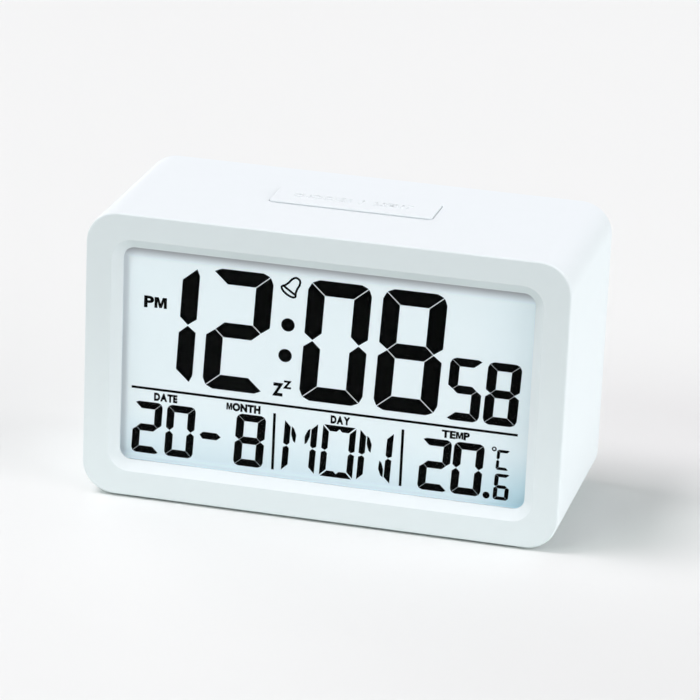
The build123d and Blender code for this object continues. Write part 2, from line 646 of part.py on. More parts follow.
# Rear cover
with BuildPart() as rear_cover:
    with BuildSketch(facing_front(cover_outer_y)):
        RectangleRounded(
            CASE_WIDTH - 2 * (RIM_WALL + COVER_GAP),
            CASE_HEIGHT - 2 * (RIM_WALL + COVER_GAP),
            CASE_CORNER_RADIUS - RIM_WALL - COVER_GAP,
        )
    extrude(amount=COVER_THICKNESS)
    # Battery bay: a box behind the cover, its pocket, and the rebate for the door
    with BuildSketch(facing_front(cover_inner_y)):
        with Locations((0, bay_z)):
            Rectangle(bay_length + 2 * BAY_WALL, bay_height + 2 * BAY_WALL)
    extrude(amount=cover_inner_y - bay_outer_y)
    with BuildSketch(facing_front(cover_outer_y)):
        with Locations((0, bay_z)):
            Rectangle(bay_length, bay_height)
    extrude(amount=cover_outer_y - bay_floor_y, mode=Mode.SUBTRACT)
    with BuildSketch(facing_front(cover_outer_y)):
        with Locations((0, bay_z)):
            RectangleRounded(
                door_length + 2 * DOOR_GAP,
                door_height + 2 * DOOR_GAP,
                DOOR_CORNER_RADIUS + DOOR_GAP,
            )
    extrude(amount=DOOR_THICKNESS, mode=Mode.SUBTRACT)
    # Low rib between the cells
    with BuildSketch(facing_front(bay_floor_y)):
        with Locations((0, bay_z)):
            Rectangle(bay_length - 2 * CONTACT_WIDTH, BAY_RIB_WIDTH)
    extrude(amount=-BAY_RIB_HEIGHT)
    # Slots for the door's tabs, with room for their swing, and for its latch
    with BuildSketch(facing_front(skin_y)):
        for x in (-DOOR_TAB_X, DOOR_TAB_X):
            with Locations((x, tab_slot_low_z)):
                Rectangle(
                    DOOR_TAB_WIDTH + 2 * DOOR_GAP,
                    bay_low_z - tab_slot_low_z + OVERRUN,
                    align=(Align.CENTER, Align.MIN),
                )
    extrude(amount=skin_y - tab_slot_y, mode=Mode.SUBTRACT)
    with BuildSketch(facing_front(skin_y)):
        with Locations((0, latch_slot_high_z)):
            Rectangle(
                latch_slot_width,
                latch_slot_high_z - bay_high_z + OVERRUN,
                align=(Align.CENTER, Align.MAX),
            )
    extrude(amount=skin_y - latch_slot_y, mode=Mode.SUBTRACT)
    # Floor slots for the contacts' solder tabs
    with BuildSketch(facing_front(bay_floor_y)):
        with Locations((contact_x, upper_cell_z), (contact_x, lower_cell_z)):
            Rectangle(CONTACT_THICKNESS + 2 * FIT_GAP, SOLDER_TAB_WIDTH + 2 * FIT_GAP)
    extrude(amount=BAY_WALL, mode=Mode.SUBTRACT)
    # Key holes, knob slot and vents
    with BuildSketch(facing_front(cover_outer_y)):
        with Locations(*button_points):
            RectangleRounded(
                BUTTON_LENGTH + 2 * BUTTON_GAP,
                BUTTON_HEIGHT + 2 * BUTTON_GAP,
                BUTTON_CORNER_RADIUS + BUTTON_GAP,
            )
        with Locations((SLIDE_X, key_z)):
            Rectangle(KNOB_LENGTH + SLIDE_TRAVEL + 2 * BUTTON_GAP, KNOB_WIDTH + 2 * BUTTON_GAP)
        with Locations((THERMISTOR_X, key_z)):
            with GridLocations(VENT_PITCH, 0, VENT_COUNT, 1):
                SlotOverall(VENT_LENGTH, VENT_WIDTH, rotation=90)
    extrude(amount=COVER_THICKNESS, mode=Mode.SUBTRACT)
    # Bosses for the key board
    with BuildSketch(facing_front(cover_inner_y)):
        with Locations(*key_screw_points):
            Circle(BOSS_RADIUS)
            Circle(SMALL_SCREW_RADIUS + SCREW_GAP, mode=Mode.SUBTRACT)
    extrude(amount=cover_inner_y - key_board_back_y)
    # Seat ring and sound slots for the sounder
    with BuildSketch(facing_front(cover_inner_y)):
        with Locations((buzzer_x, bay_z)):
            Circle(buzzer_ring_radius)
            Circle(buzzer_ring_radius - BUZZER_RING_WALL, mode=Mode.SUBTRACT)
    extrude(amount=BUZZER_RING_HEIGHT)
    with BuildSketch(facing_front(cover_outer_y)):
        for step in range(SOUND_SLOT_COUNT):
            across = (step - (SOUND_SLOT_COUNT - 1) / 2) * SOUND_SLOT_PITCH
            with Locations((buzzer_x, bay_z + across)):
                SlotOverall(2 * sqrt(sound_radius**2 - across**2), SOUND_SLOT_WIDTH)
    extrude(amount=COVER_THICKNESS, mode=Mode.SUBTRACT)
    # Sunk holes for the cover screws
    with Locations(*[from_behind(x, cover_outer_y, z) for x, z in pillar_points]):
        CounterBoreHole(
            COVER_SCREW_RADIUS + FIT_GAP, COVER_HEAD_RADIUS + FIT_GAP, COVER_HEAD_HEIGHT, COVER_THICKNESS
        )

with BuildPart() as cover_screws:
    add_screws(
        [from_behind(x, cover_outer_y - COVER_HEAD_HEIGHT, z) for x, z in pillar_points],
        COVER_SCREW_RADIUS, COVER_SCREW_LENGTH, COVER_HEAD_RADIUS, COVER_HEAD_HEIGHT,
    )
    fillet(faces().group_by(Axis.Y)[-1].edges(), radius=HEAD_EDGE_RADIUS)

# Key board and what is on it
with BuildPart() as key_board:
    with BuildSketch(facing_front(key_board_back_y)):
        with Locations((0, key_z)):
            Rectangle(KEY_BOARD_LENGTH, KEY_BOARD_HEIGHT)
        with Locations(*key_screw_points):
            Circle(SMALL_SCREW_RADIUS + FIT_GAP, mode=Mode.SUBTRACT)
    extrude(amount=SMALL_BOARD_THICKNESS)

with BuildPart() as key_board_screws:
    key_screw_length = cover_inner_y - key_board_y - SCREW_GAP
    add_screws(
        [Plane(origin=(x, key_board_y, mid_z + z), z_dir=(0, -1, 0)) for x, z in key_screw_points],
        SMALL_SCREW_RADIUS, key_screw_length, SMALL_HEAD_RADIUS, SMALL_HEAD_HEIGHT,
    )
    fillet(faces().group_by(Axis.Y)[0].edges(), radius=HEAD_EDGE_RADIUS)

with BuildPart() as key_switches:
    with BuildSketch(facing_front(key_switch_y)):
        with Locations(*button_points):
            Rectangle(TACT_SIZE, TACT_SIZE)
    extrude(amount=TACT_HEIGHT)
    with BuildSketch(facing_front(key_switch_y)):
        with Locations(*button_points):
            Circle(PLUNGER_RADIUS + PLUNGER_GAP)
    extrude(amount=tact_bore_depth, mode=Mode.SUBTRACT)

with BuildPart() as thermistor:
    with BuildSketch(facing_front(key_board_back_y)):
        with Locations((THERMISTOR_X, key_z)):
            Circle(THERMISTOR_RADIUS)
    extrude(amount=-THERMISTOR_HEIGHT)
    fillet(faces().sort_by(Axis.Y)[-1].edges(), radius=THERMISTOR_RADIUS / 2)

with BuildPart() as slide_switch:
    with BuildSketch(facing_front(slide_top_y)):
        with Locations((SLIDE_X, key_z)):
            Rectangle(SLIDE_BODY_LENGTH, SLIDE_BODY_WIDTH)
    extrude(amount=SLIDE_BODY_HEIGHT)
    # Channel for the shoe, and the narrower slot that the post comes out of
    with BuildSketch(facing_front(slide_top_y - SLIDE_ROOF)):
        with Locations((SLIDE_X, key_z)):
            Rectangle(SHOE_LENGTH + SLIDE_TRAVEL + 2 * SLIDE_GAP, SHOE_WIDTH + 2 * SLIDE_GAP)
    extrude(amount=SLIDE_BODY_HEIGHT - SLIDE_ROOF - SLIDE_FLOOR, mode=Mode.SUBTRACT)
    with BuildSketch(facing_front(slide_top_y)):
        with Locations((SLIDE_X, key_z)):
            Rectangle(POST_SIZE + SLIDE_TRAVEL + 2 * SLIDE_GAP, POST_SIZE + 2 * SLIDE_GAP)
    extrude(amount=SLIDE_ROOF, mode=Mode.SUBTRACT)

with BuildPart() as slide_actuator:
    with BuildSketch(facing_front(shoe_top_y)):
        with Locations((knob_x, key_z)):
            Rectangle(SHOE_LENGTH, SHOE_WIDTH)
    extrude(amount=shoe_top_y - shoe_y)
    with BuildSketch(facing_front(post_tip_y)):
        with Locations((knob_x, key_z)):
            Rectangle(POST_SIZE, POST_SIZE)
    extrude(amount=post_tip_y - shoe_top_y)

with BuildPart() as alarm_slider:
    with BuildSketch(facing_front(cover_outer_y + KNOB_PROUD)):
        with Locations((knob_x, key_z)):
            Rectangle(KNOB_LENGTH, KNOB_WIDTH)
    extrude(amount=cover_outer_y + KNOB_PROUD - knob_flange_back_y)
    chamfer(faces().sort_by(Axis.Y)[-1].edges(), length=KNOB_EDGE_RADIUS)
    # Finger grooves across the knob
    with BuildSketch(facing_front(cover_outer_y + KNOB_PROUD)):
        with Locations((knob_x, key_z)):
            with GridLocations(2 * KNOB_GROOVE, 0, 3, 1):
                Rectangle(KNOB_GROOVE, KNOB_WIDTH)
    extrude(amount=KNOB_GROOVE, mode=Mode.SUBTRACT)
    with BuildSketch(facing_front(knob_flange_back_y)):
        with Locations((knob_x, key_z)):
            Rectangle(KNOB_LENGTH + 2 * KNOB_FLANGE_MARGIN, KNOB_WIDTH + 2 * BUTTON_FLANGE_MARGIN)
    extrude(amount=KNOB_FLANGE)
    with BuildSketch(facing_front(knob_flange_y)):
        with Locations((knob_x, key_z)):
            Rectangle(POST_SIZE + 2 * FIT_GAP, POST_SIZE + 2 * FIT_GAP)
    extrude(amount=-KNOB_SOCKET, mode=Mode.SUBTRACT)

# Press keys with their switch plungers
buttons = {}
for name, point in zip(BUTTON_NAMES, button_points):
    with BuildPart() as button:
        with BuildSketch(facing_front(cover_outer_y + BUTTON_PROUD)):
            with Locations(point):
                RectangleRounded(BUTTON_LENGTH, BUTTON_HEIGHT, BUTTON_CORNER_RADIUS)
        extrude(amount=cover_outer_y + BUTTON_PROUD - cover_inner_y)
        fillet(faces().sort_by(Axis.Y)[-1].edges(), radius=BUTTON_EDGE_RADIUS)
        with BuildSketch(facing_front(cover_inner_y)):
            with Locations(point):
                RectangleRounded(
                    BUTTON_LENGTH + 2 * BUTTON_FLANGE_MARGIN,
                    BUTTON_HEIGHT + 2 * BUTTON_FLANGE_MARGIN,
                    BUTTON_CORNER_RADIUS,
                )
        extrude(amount=BUTTON_FLANGE)
    with BuildPart() as plunger:
        with BuildSketch(facing_front(key_flange_y)):
            with Locations(point):
                Circle(PLUNGER_RADIUS)
        extrude(amount=TACT_PROUD + PLUNGER_ENTRY)
    buttons["button_" + name] = button
    buttons["plunger_" + name] = plunger

# Sounder: brass plate glued on the ring, ceramic disc on the plate
with BuildPart() as buzzer_plate:
    with BuildSketch(facing_front(buzzer_plate_back_y)):
        with Locations((buzzer_x, bay_z)):
            Circle(BUZZER_RADIUS)
    extrude(amount=BUZZER_PLATE)

with BuildPart() as buzzer_ceramic:
    with BuildSketch(facing_front(ceramic_back_y)):
        with Locations((buzzer_x, bay_z)):
            Circle(CERAMIC_RADIUS)
    extrude(amount=CERAMIC_THICKNESS)

# Cells: the upper one points right, the lower one left
cells = {}
for name, toward, z in (("battery_upper", 1, upper_cell_z), ("battery_lower", -1, lower_cell_z)):
    tip_plane = Plane(origin=(toward * contact_face_x, cell_y, mid_z + z), z_dir=(-toward, 0, 0))
    with BuildPart() as cell:
        with BuildSketch(tip_plane.offset(CELL_NUB_LENGTH)):
            Circle(CELL_RADIUS)
        extrude(amount=CELL_LENGTH - CELL_NUB_LENGTH)
        fillet(edges(), radius=CELL_EDGE_RADIUS)
        with BuildSketch(tip_plane):
            Circle(CELL_NUB_RADIUS)
        extrude(amount=CELL_NUB_LENGTH)
    cells[name] = cell

# Battery contacts: a plate against each end wall, with solder tabs through the bay's floor
with BuildPart() as positive_contact:
    with BuildSketch(Plane.YZ.offset(contact_face_x)):
        with Locations((bay_floor_y, mid_z + upper_cell_z)):
            Rectangle(CONTACT_HEIGHT, CONTACT_WIDTH, align=(Align.MIN, Align.CENTER))
            Rectangle(bay_floor_y - solder_tab_y, SOLDER_TAB_WIDTH, align=(Align.MAX, Align.CENTER))
    extrude(amount=CONTACT_THICKNESS)

with BuildPart() as negative_contact:
    with BuildSketch(Plane.YZ.offset(contact_face_x)):
        with Locations((bay_floor_y, mid_z + lower_cell_z)):
            Rectangle(CONTACT_HEIGHT, CONTACT_WIDTH, align=(Align.MIN, Align.CENTER))
            Rectangle(bay_floor_y - solder_tab_y, SOLDER_TAB_WIDTH, align=(Align.MAX, Align.CENTER))
    extrude(amount=CONTACT_THICKNESS)

with BuildPart() as link_contact:
    with BuildSketch(Plane.YZ.offset(-bay_length / 2)):
        with Locations((bay_floor_y, mid_z + bay_z)):
            Rectangle(CONTACT_HEIGHT, cell_pitch + CONTACT_WIDTH, align=(Align.MIN, Align.CENTER))
    extrude(amount=CONTACT_THICKNESS)


def spring_point(base, toward, turn):
    """Point on a contact spring's cone after so many turns from its wide end."""
    rise = SPRING_LENGTH - SPRING_WIRE - 2 * SPRING_END_GAP
    radius = SPRING_BASE_RADIUS + (SPRING_TIP_RADIUS - SPRING_BASE_RADIUS) * turn / SPRING_TURNS
    along = SPRING_WIRE / 2 + SPRING_END_GAP + rise * turn / SPRING_TURNS
    angle = 2 * pi * turn
    return base + Vector(toward * along, radius * cos(angle), radius * sin(angle))


def spring_heading(base, toward, turn):
    """Direction of the wire at a turn."""
    step_share = 0.001
    ahead = spring_point(base, toward, turn + step_share)
    behind = spring_point(base, toward, turn - step_share)
    return (ahead - behind).normalized()


def add_biarc(start, start_heading, end, end_heading):
    """Two tangent arcs from one point and heading to the next."""
    chord = end - start
    headings = start_heading + end_heading
    spread = 2 * (1 - start_heading.dot(end_heading))
    along = chord.dot(headings)
    reach = (sqrt(along**2 + spread * chord.dot(chord)) - along) / spread
    start_corner = start + start_heading * reach
    end_corner = end - end_heading * reach
    middle = (start_corner + end_corner) * 0.5
    TangentArc(start, middle, tangent=start_heading)
    TangentArc(middle, end, tangent=end_corner - start_corner)


# Contact springs: a cone of wire for each cell's flat end
spring_steps = ceil(4 * SPRING_TURNS)
spring_turns = [SPRING_TURNS * step / spring_steps for step in range(spring_steps + 1)]
with BuildPart() as contact_springs:
    for toward, z in ((1, upper_cell_z), (-1, lower_cell_z)):
        base = Vector(-toward * contact_face_x, cell_y, mid_z + z)
        points = [spring_point(base, toward, turn) for turn in spring_turns]
        headings = [spring_heading(base, toward, turn) for turn in spring_turns]
        with BuildLine() as wire_line:
            Line(points[0] - headings[0] * SPRING_WIRE, points[0])
            for i in range(spring_steps):
                add_biarc(points[i], headings[i], points[i + 1], headings[i + 1])
            Line(points[-1], points[-1] + headings[-1] * SPRING_WIRE)
        with BuildSketch(Plane(origin=wire_line.line @ 0, z_dir=wire_line.line % 0)):
            Circle(SPRING_WIRE / 2)
        sweep(path=wire_line.line)

# Least gap between the turns of a spring, measured on points along its wire
samples_per_turn = 48
sample_count = round(SPRING_TURNS * samples_per_turn)
wire_points = [spring_point(Vector(0, 0, 0), 1, i / samples_per_turn) for i in range(sample_count + 1)]
least_gap = min(
    (wire_points[j] - wire_points[i]).length - SPRING_WIRE
    for i in range(sample_count + 1)
    for j in range(i + samples_per_turn // 2, sample_count + 1)
)
print(f"contact spring, least gap between turns: {least_gap:.2f} mm")

# Battery door
with BuildPart() as battery_door:
    with BuildSketch(facing_front(cover_outer_y)):
        with Locations((0, bay_z)):
            RectangleRounded(door_length, door_height, DOOR_CORNER_RADIUS)
        with Locations((0, latch_notch_z)):
            Rectangle(
                latch_slot_width, door_high_z - latch_notch_z + OVERRUN,
                align=(Align.CENTER, Align.MIN), mode=Mode.SUBTRACT,
            )
    extrude(amount=DOOR_THICKNESS)
    # Tabs that hook under the cover
    with BuildSketch(facing_front(tab_back_y)):
        with Locations((-DOOR_TAB_X, door_low_z), (DOOR_TAB_X, door_low_z)):
            Rectangle(DOOR_TAB_WIDTH, 2 * DOOR_TAB_REACH)
    extrude(amount=DOOR_TAB_THICKNESS)
    # Finger ribs below the latch
    rib_top_z = latch_notch_z - DOOR_RIB_PITCH
    with BuildSketch(facing_front(cover_outer_y)):
        for step in range(DOOR_RIB_COUNT):
            with Locations((0, rib_top_z - step * DOOR_RIB_PITCH)):
                SlotOverall(DOOR_RIB_LENGTH, DOOR_RIB_WIDTH)
    extrude(amount=-DOOR_RIB_HEIGHT)

# Sprung latch: a U of the door's own plastic with a catch that snaps under the cover
with BuildPart() as door_latch:
    with BuildSketch(Plane.YZ):
        with BuildLine():
            Line((door_y, mid_z + latch_root_z), (latch_bend_y, mid_z + latch_root_z))
            TangentArc(
                (latch_bend_y, mid_z + latch_root_z),
                (latch_bend_y, mid_z + latch_outer_z),
                tangent=(-1, 0),
            )
            Line((latch_bend_y, mid_z + latch_outer_z), (cover_outer_y, mid_z + latch_outer_z))
        trace(line_width=LATCH_THICKNESS)
        catch_z = mid_z + latch_outer_z
        catch_tip_z = mid_z + door_high_z + DOOR_GAP + LATCH_CATCH
        with BuildLine():
            Polyline(
                (catch_back_y, catch_z),
                (catch_back_y, catch_tip_z),
                (catch_back_y - LATCH_CATCH, catch_tip_z),
                (catch_back_y - 2 * LATCH_CATCH, catch_z),
                close=True,
            )
        make_face()
    extrude(amount=LATCH_WIDTH / 2, both=True)

# Leads: each runs in from its solder point, up in a loop and back out to the key board
lead_board_z = mid_z + key_z - KEY_BOARD_HEIGHT / 2


def make_lead(x, start, loop_y, board_step):
    """Round lead in a plane across the case, from a start point (y, z) to the key board's front."""
    start_y, start_z = start
    board_z = lead_board_z + board_step * LEAD_BOARD_STEP
    with BuildPart() as lead:
        with BuildLine(Plane.YZ.offset(x)) as route:
            FilletPolyline(
                (start_y, start_z),
                (loop_y, start_z),
                (loop_y, board_z),
                (key_board_y, board_z),
                radius=LEAD_BEND_RADIUS,
            )
        with BuildSketch(Plane(origin=route.line @ 0, z_dir=route.line % 0)):
            Circle(LEAD_RADIUS)
        sweep(path=route.line)
    return lead


battery_lead_positive = make_lead(
    contact_x, (solder_tab_y, mid_z + upper_cell_z), solder_tab_y - LEAD_LOOP, 1
)
battery_lead_negative = make_lead(
    contact_x, (solder_tab_y, mid_z + lower_cell_z), solder_tab_y - LEAD_LOOP - LEAD_LOOP_STEP, 2
)
buzzer_loop_y = ceramic_y - LEAD_LOOP - LEAD_LOOP_STEP
plate_solder_z = mid_z + bay_z + (BUZZER_RADIUS + CERAMIC_RADIUS) / 2
ceramic_lead = make_lead(buzzer_x - CERAMIC_RADIUS / 2, (ceramic_y, mid_z + bay_z), buzzer_loop_y, 1)
plate_lead = make_lead(buzzer_x, (ceramic_back_y, plate_solder_z), buzzer_loop_y, 1)
with BuildPart() as buzzer_leads:
    add(ceramic_lead.part)
    add(plate_lead.part)

# Flat cables to the main board
key_ribbon_z = mid_z + key_z
with BuildPart() as key_ribbon:
    ribbon_mid_y = (key_board_y + board_back_y) / 2
    with BuildSketch(Plane.YZ.offset(KEY_RIBBON_X)):
        with BuildLine():
            FilletPolyline(
                (key_board_y, key_ribbon_z),
                (ribbon_mid_y, key_ribbon_z),
                (ribbon_mid_y, key_ribbon_z - KEY_RIBBON_DROP),
                (board_back_y, key_ribbon_z - KEY_RIBBON_DROP),
                radius=RIBBON_BEND_RADIUS,
            )
        trace(line_width=RIBBON_THICKNESS)
    extrude(amount=KEY_RIBBON_WIDTH / 2, both=True)

with BuildPart() as snooze_ribbon:
    snooze_ribbon_y = SNOOZE_SETBACK - SNOOZE_BOARD_WIDTH / 2 + RIBBON_THICKNESS
    snooze_ribbon_z = snooze_board_bottom - SNOOZE_RIBBON_DROP
    with BuildSketch(Plane.YZ):
        with BuildLine():
            FilletPolyline(
                (snooze_ribbon_y, snooze_board_bottom),
                (snooze_ribbon_y, snooze_ribbon_z),
                (board_back_y, snooze_ribbon_z),
                radius=RIBBON_BEND_RADIUS,
            )
        trace(line_width=RIBBON_THICKNESS)
    extrude(amount=SNOOZE_RIBBON_WIDTH / 2, both=True)

# One file for each piece
pieces = {
    "main_case": main_case,
    "rubber_feet": rubber_feet,
    "window_tape": window_tape,
    "display_window": display_window,
    "window_gasket": window_gasket,
    "lcd_panel": lcd_panel,
    "diffuser_sheet": diffuser_sheet,
    "light_guide": light_guide,
    "backlight_strip": backlight_strip,
    "backlight_leds": backlight_leds,
    "display_carrier": display_carrier,
    "zebra_strips": zebra_strips,
    "main_board": main_board,
    "controller_blob": controller_blob,
    "crystal": crystal,
    "capacitors": capacitors,
    "board_screws": board_screws,
    "snooze_bar": snooze_bar,
    "snooze_plunger": snooze_plunger,
    "snooze_switch": snooze_switch,
    "snooze_board": snooze_board,
    "snooze_screws": snooze_screws,
    "rear_cover": rear_cover,
    "cover_screws": cover_screws,
    "key_board": key_board,
    "key_board_screws": key_board_screws,
    "key_switches": key_switches,
    "thermistor": thermistor,
    "slide_switch": slide_switch,
    "slide_actuator": slide_actuator,
    "alarm_slider": alarm_slider,
    "buzzer_plate": buzzer_plate,
    "buzzer_ceramic": buzzer_ceramic,
    "positive_contact": positive_contact,
    "negative_contact": negative_contact,
    "link_contact": link_contact,
    "contact_springs": contact_springs,
    "battery_door": battery_door,
    "door_latch": door_latch,
    "battery_lead_positive": battery_lead_positive,
    "battery_lead_negative": battery_lead_negative,
    "buzzer_leads": buzzer_leads,
    "key_ribbon": key_ribbon,
    "snooze_ribbon": snooze_ribbon,
    **buttons,
    **cells,
}
os.makedirs("parts", exist_ok=True)
for name, piece in pieces.items():
    piece.part.label = name
    export_step(piece.part, f"parts/{name}.step")
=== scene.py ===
"""Looks of a white bedside alarm clock: finishes, readout, lettering, floor, lamps and camera."""
import json
from math import cos, pi, radians, sin

import bmesh
import bpy
from mathutils import Color, Matrix, Vector

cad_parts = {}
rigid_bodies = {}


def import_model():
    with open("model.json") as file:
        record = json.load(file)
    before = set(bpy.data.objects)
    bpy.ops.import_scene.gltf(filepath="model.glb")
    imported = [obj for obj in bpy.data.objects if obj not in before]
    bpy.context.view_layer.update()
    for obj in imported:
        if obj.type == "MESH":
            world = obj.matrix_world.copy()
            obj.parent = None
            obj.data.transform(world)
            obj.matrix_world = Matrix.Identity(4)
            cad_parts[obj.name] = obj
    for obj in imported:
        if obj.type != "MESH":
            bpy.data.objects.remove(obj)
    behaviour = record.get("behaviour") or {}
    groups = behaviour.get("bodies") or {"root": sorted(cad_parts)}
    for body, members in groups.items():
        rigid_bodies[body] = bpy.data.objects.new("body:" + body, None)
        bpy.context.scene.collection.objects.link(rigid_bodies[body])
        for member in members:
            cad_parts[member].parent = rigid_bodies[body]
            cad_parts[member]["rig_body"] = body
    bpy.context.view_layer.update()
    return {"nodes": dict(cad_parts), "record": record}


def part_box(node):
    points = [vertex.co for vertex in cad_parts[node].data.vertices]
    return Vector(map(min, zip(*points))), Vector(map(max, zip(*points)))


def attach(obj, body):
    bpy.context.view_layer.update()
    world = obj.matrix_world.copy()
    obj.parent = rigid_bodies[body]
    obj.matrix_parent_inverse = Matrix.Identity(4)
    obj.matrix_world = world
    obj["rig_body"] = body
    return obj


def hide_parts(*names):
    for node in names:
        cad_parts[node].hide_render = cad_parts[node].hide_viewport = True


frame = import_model()


# Units, directions and the places that the frame gives

def middle_of(node):
    """The middle of a node's box at rest."""
    low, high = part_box(node)
    return (low + high) / 2


MM = 0.001
RIGHTWARDS = (1, 0, 0)
LEFTWARDS = (-1, 0, 0)
BACKWARDS = (0, 1, 0)
UPWARDS = (0, 0, 1)
SLOT_OF_NODE = {row["node"]: row["material_slot"] for row in frame["record"]["subparts"]}
CASE_LOW, CASE_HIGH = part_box("main_case")
LCD_LOW, LCD_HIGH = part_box("lcd_panel")
LCD_MIDDLE = middle_of("lcd_panel")
COVER_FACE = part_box("rear_cover")[1].y


# Shader arithmetic

# The Mix node's sockets share their names, so those for colours go by number
MIX_FACTOR = 0
MIX_FIRST_COLOUR = 6
MIX_SECOND_COLOUR = 7
MIX_COLOUR = 2


def plug(tree, node, inputs):
    """Set a node's sockets to plain values, or link them to wires."""
    for name, value in inputs.items():
        if isinstance(value, Wire):
            tree.links.new(value.socket, node.inputs[name])
        else:
            node.inputs[name].default_value = value


class Wire:
    """An output socket that can be added, subtracted, multiplied and compared."""

    def __init__(self, tree, socket):
        self.tree = tree
        self.socket = socket

    def node(self, kind, settings, inputs, output=0):
        """Any other node: its settings come first, then the values or links of its sockets."""
        made = self.tree.nodes.new(kind)
        for name, value in settings.items():
            setattr(made, name, value)
        plug(self.tree, made, inputs)
        return Wire(self.tree, made.outputs[output])

    def math(self, operation, first, second):
        """One Math node on two values or wires."""
        return self.node("ShaderNodeMath", {"operation": operation}, {0: first, 1: second})

    def __add__(self, other):
        return self.math("ADD", self, other)

    __radd__ = __add__

    def __sub__(self, other):
        return self.math("SUBTRACT", self, other)

    def __rsub__(self, other):
        return self.math("SUBTRACT", other, self)

    def __mul__(self, other):
        return self.math("MULTIPLY", self, other)

    __rmul__ = __mul__

    def __gt__(self, other):
        return self.math("GREATER_THAN", self, other)

    def __lt__(self, other):
        return self.math("LESS_THAN", self, other)

    def either(self, other):
        """The larger of two wires, which joins two masks."""
        return self.math("MAXIMUM", self, other)

    def axis(self, name):
        """One coordinate of a vector wire."""
        return self.node("ShaderNodeSeparateXYZ", {}, {"Vector": self}, name)

    def noise(self, size, detail=2.0):
        """Cloudy noise from 0 to 1 on this vector, with blobs of about the given size."""
        return self.node("ShaderNodeTexNoise", {}, {"Vector": self, "Scale": 1 / size, "Detail": detail})

    def ease(self, start, end):
        """A smooth step from 0 at start to 1 at end."""
        settings = {"interpolation_type": "SMOOTHSTEP"}
        inputs = {"Value": self, "From Min": start, "From Max": end}
        return self.node("ShaderNodeMapRange", settings, inputs)

    def between(self, first, second):
        """A colour that goes from first to second as this wire goes from 0 to 1."""
        inputs = {MIX_FACTOR: self, MIX_FIRST_COLOUR: first, MIX_SECOND_COLOUR: second}
        return self.node("ShaderNodeMix", {"data_type": "RGBA"}, inputs, MIX_COLOUR)

    def bump(self, depth):
        """A surface normal whose relief is this wire, the given depth from its low to its high."""
        return self.node("ShaderNodeBump", {}, {"Height": self, "Distance": depth})


FULL_STEP = 255


def srgb(red, green, blue):
    """A colour as it looks on screen, in 8-bit steps, as the linear value that shaders take."""
    screen = Color((red / FULL_STEP, green / FULL_STEP, blue / FULL_STEP))
    return (*screen.from_srgb_to_scene_linear(), 1.0)


def shade(colour, factor):
    """A colour made lighter or darker by a factor."""
    return tuple(min(1.0, part * factor) for part in colour[:3]) + (1.0,)


def start_finish(name):
    """A new material, and the wire of the Object coordinates that its patterns follow."""
    material = bpy.data.materials.new(name)
    material.use_nodes = True
    tree = material.node_tree
    place = Wire(tree, tree.nodes.new("ShaderNodeTexCoord").outputs["Object"])
    return material, place


def set_surface(material, inputs):
    """Fill the sockets of a material's own surface shader."""
    plug(material.node_tree, material.node_tree.nodes["Principled BSDF"], inputs)


# Plain finishes: plastic, rubber, film, metal and ink

CLOUD_GRAINS = 12
GRAIN_DETAIL = 4.0
GLOSS_SPREAD = 0.15


def grained_finish(name, colour, roughness, grain, depth, spread, metallic=0.0):
    """A solid stuff whose tone, gloss and relief vary a little, with grains of the given size."""
    material, place = start_finish(name)
    cloud = place.noise(CLOUD_GRAINS * grain)
    speck = place.noise(grain, GRAIN_DETAIL)
    set_surface(material, {
        "Base Color": cloud.between(shade(colour, 1 - spread), shade(colour, 1 + spread)),
        "Roughness": roughness * (1 - GLOSS_SPREAD + 2 * GLOSS_SPREAD * speck),
        "Metallic": metallic,
        "Normal": speck.bump(depth),
    })
    return material


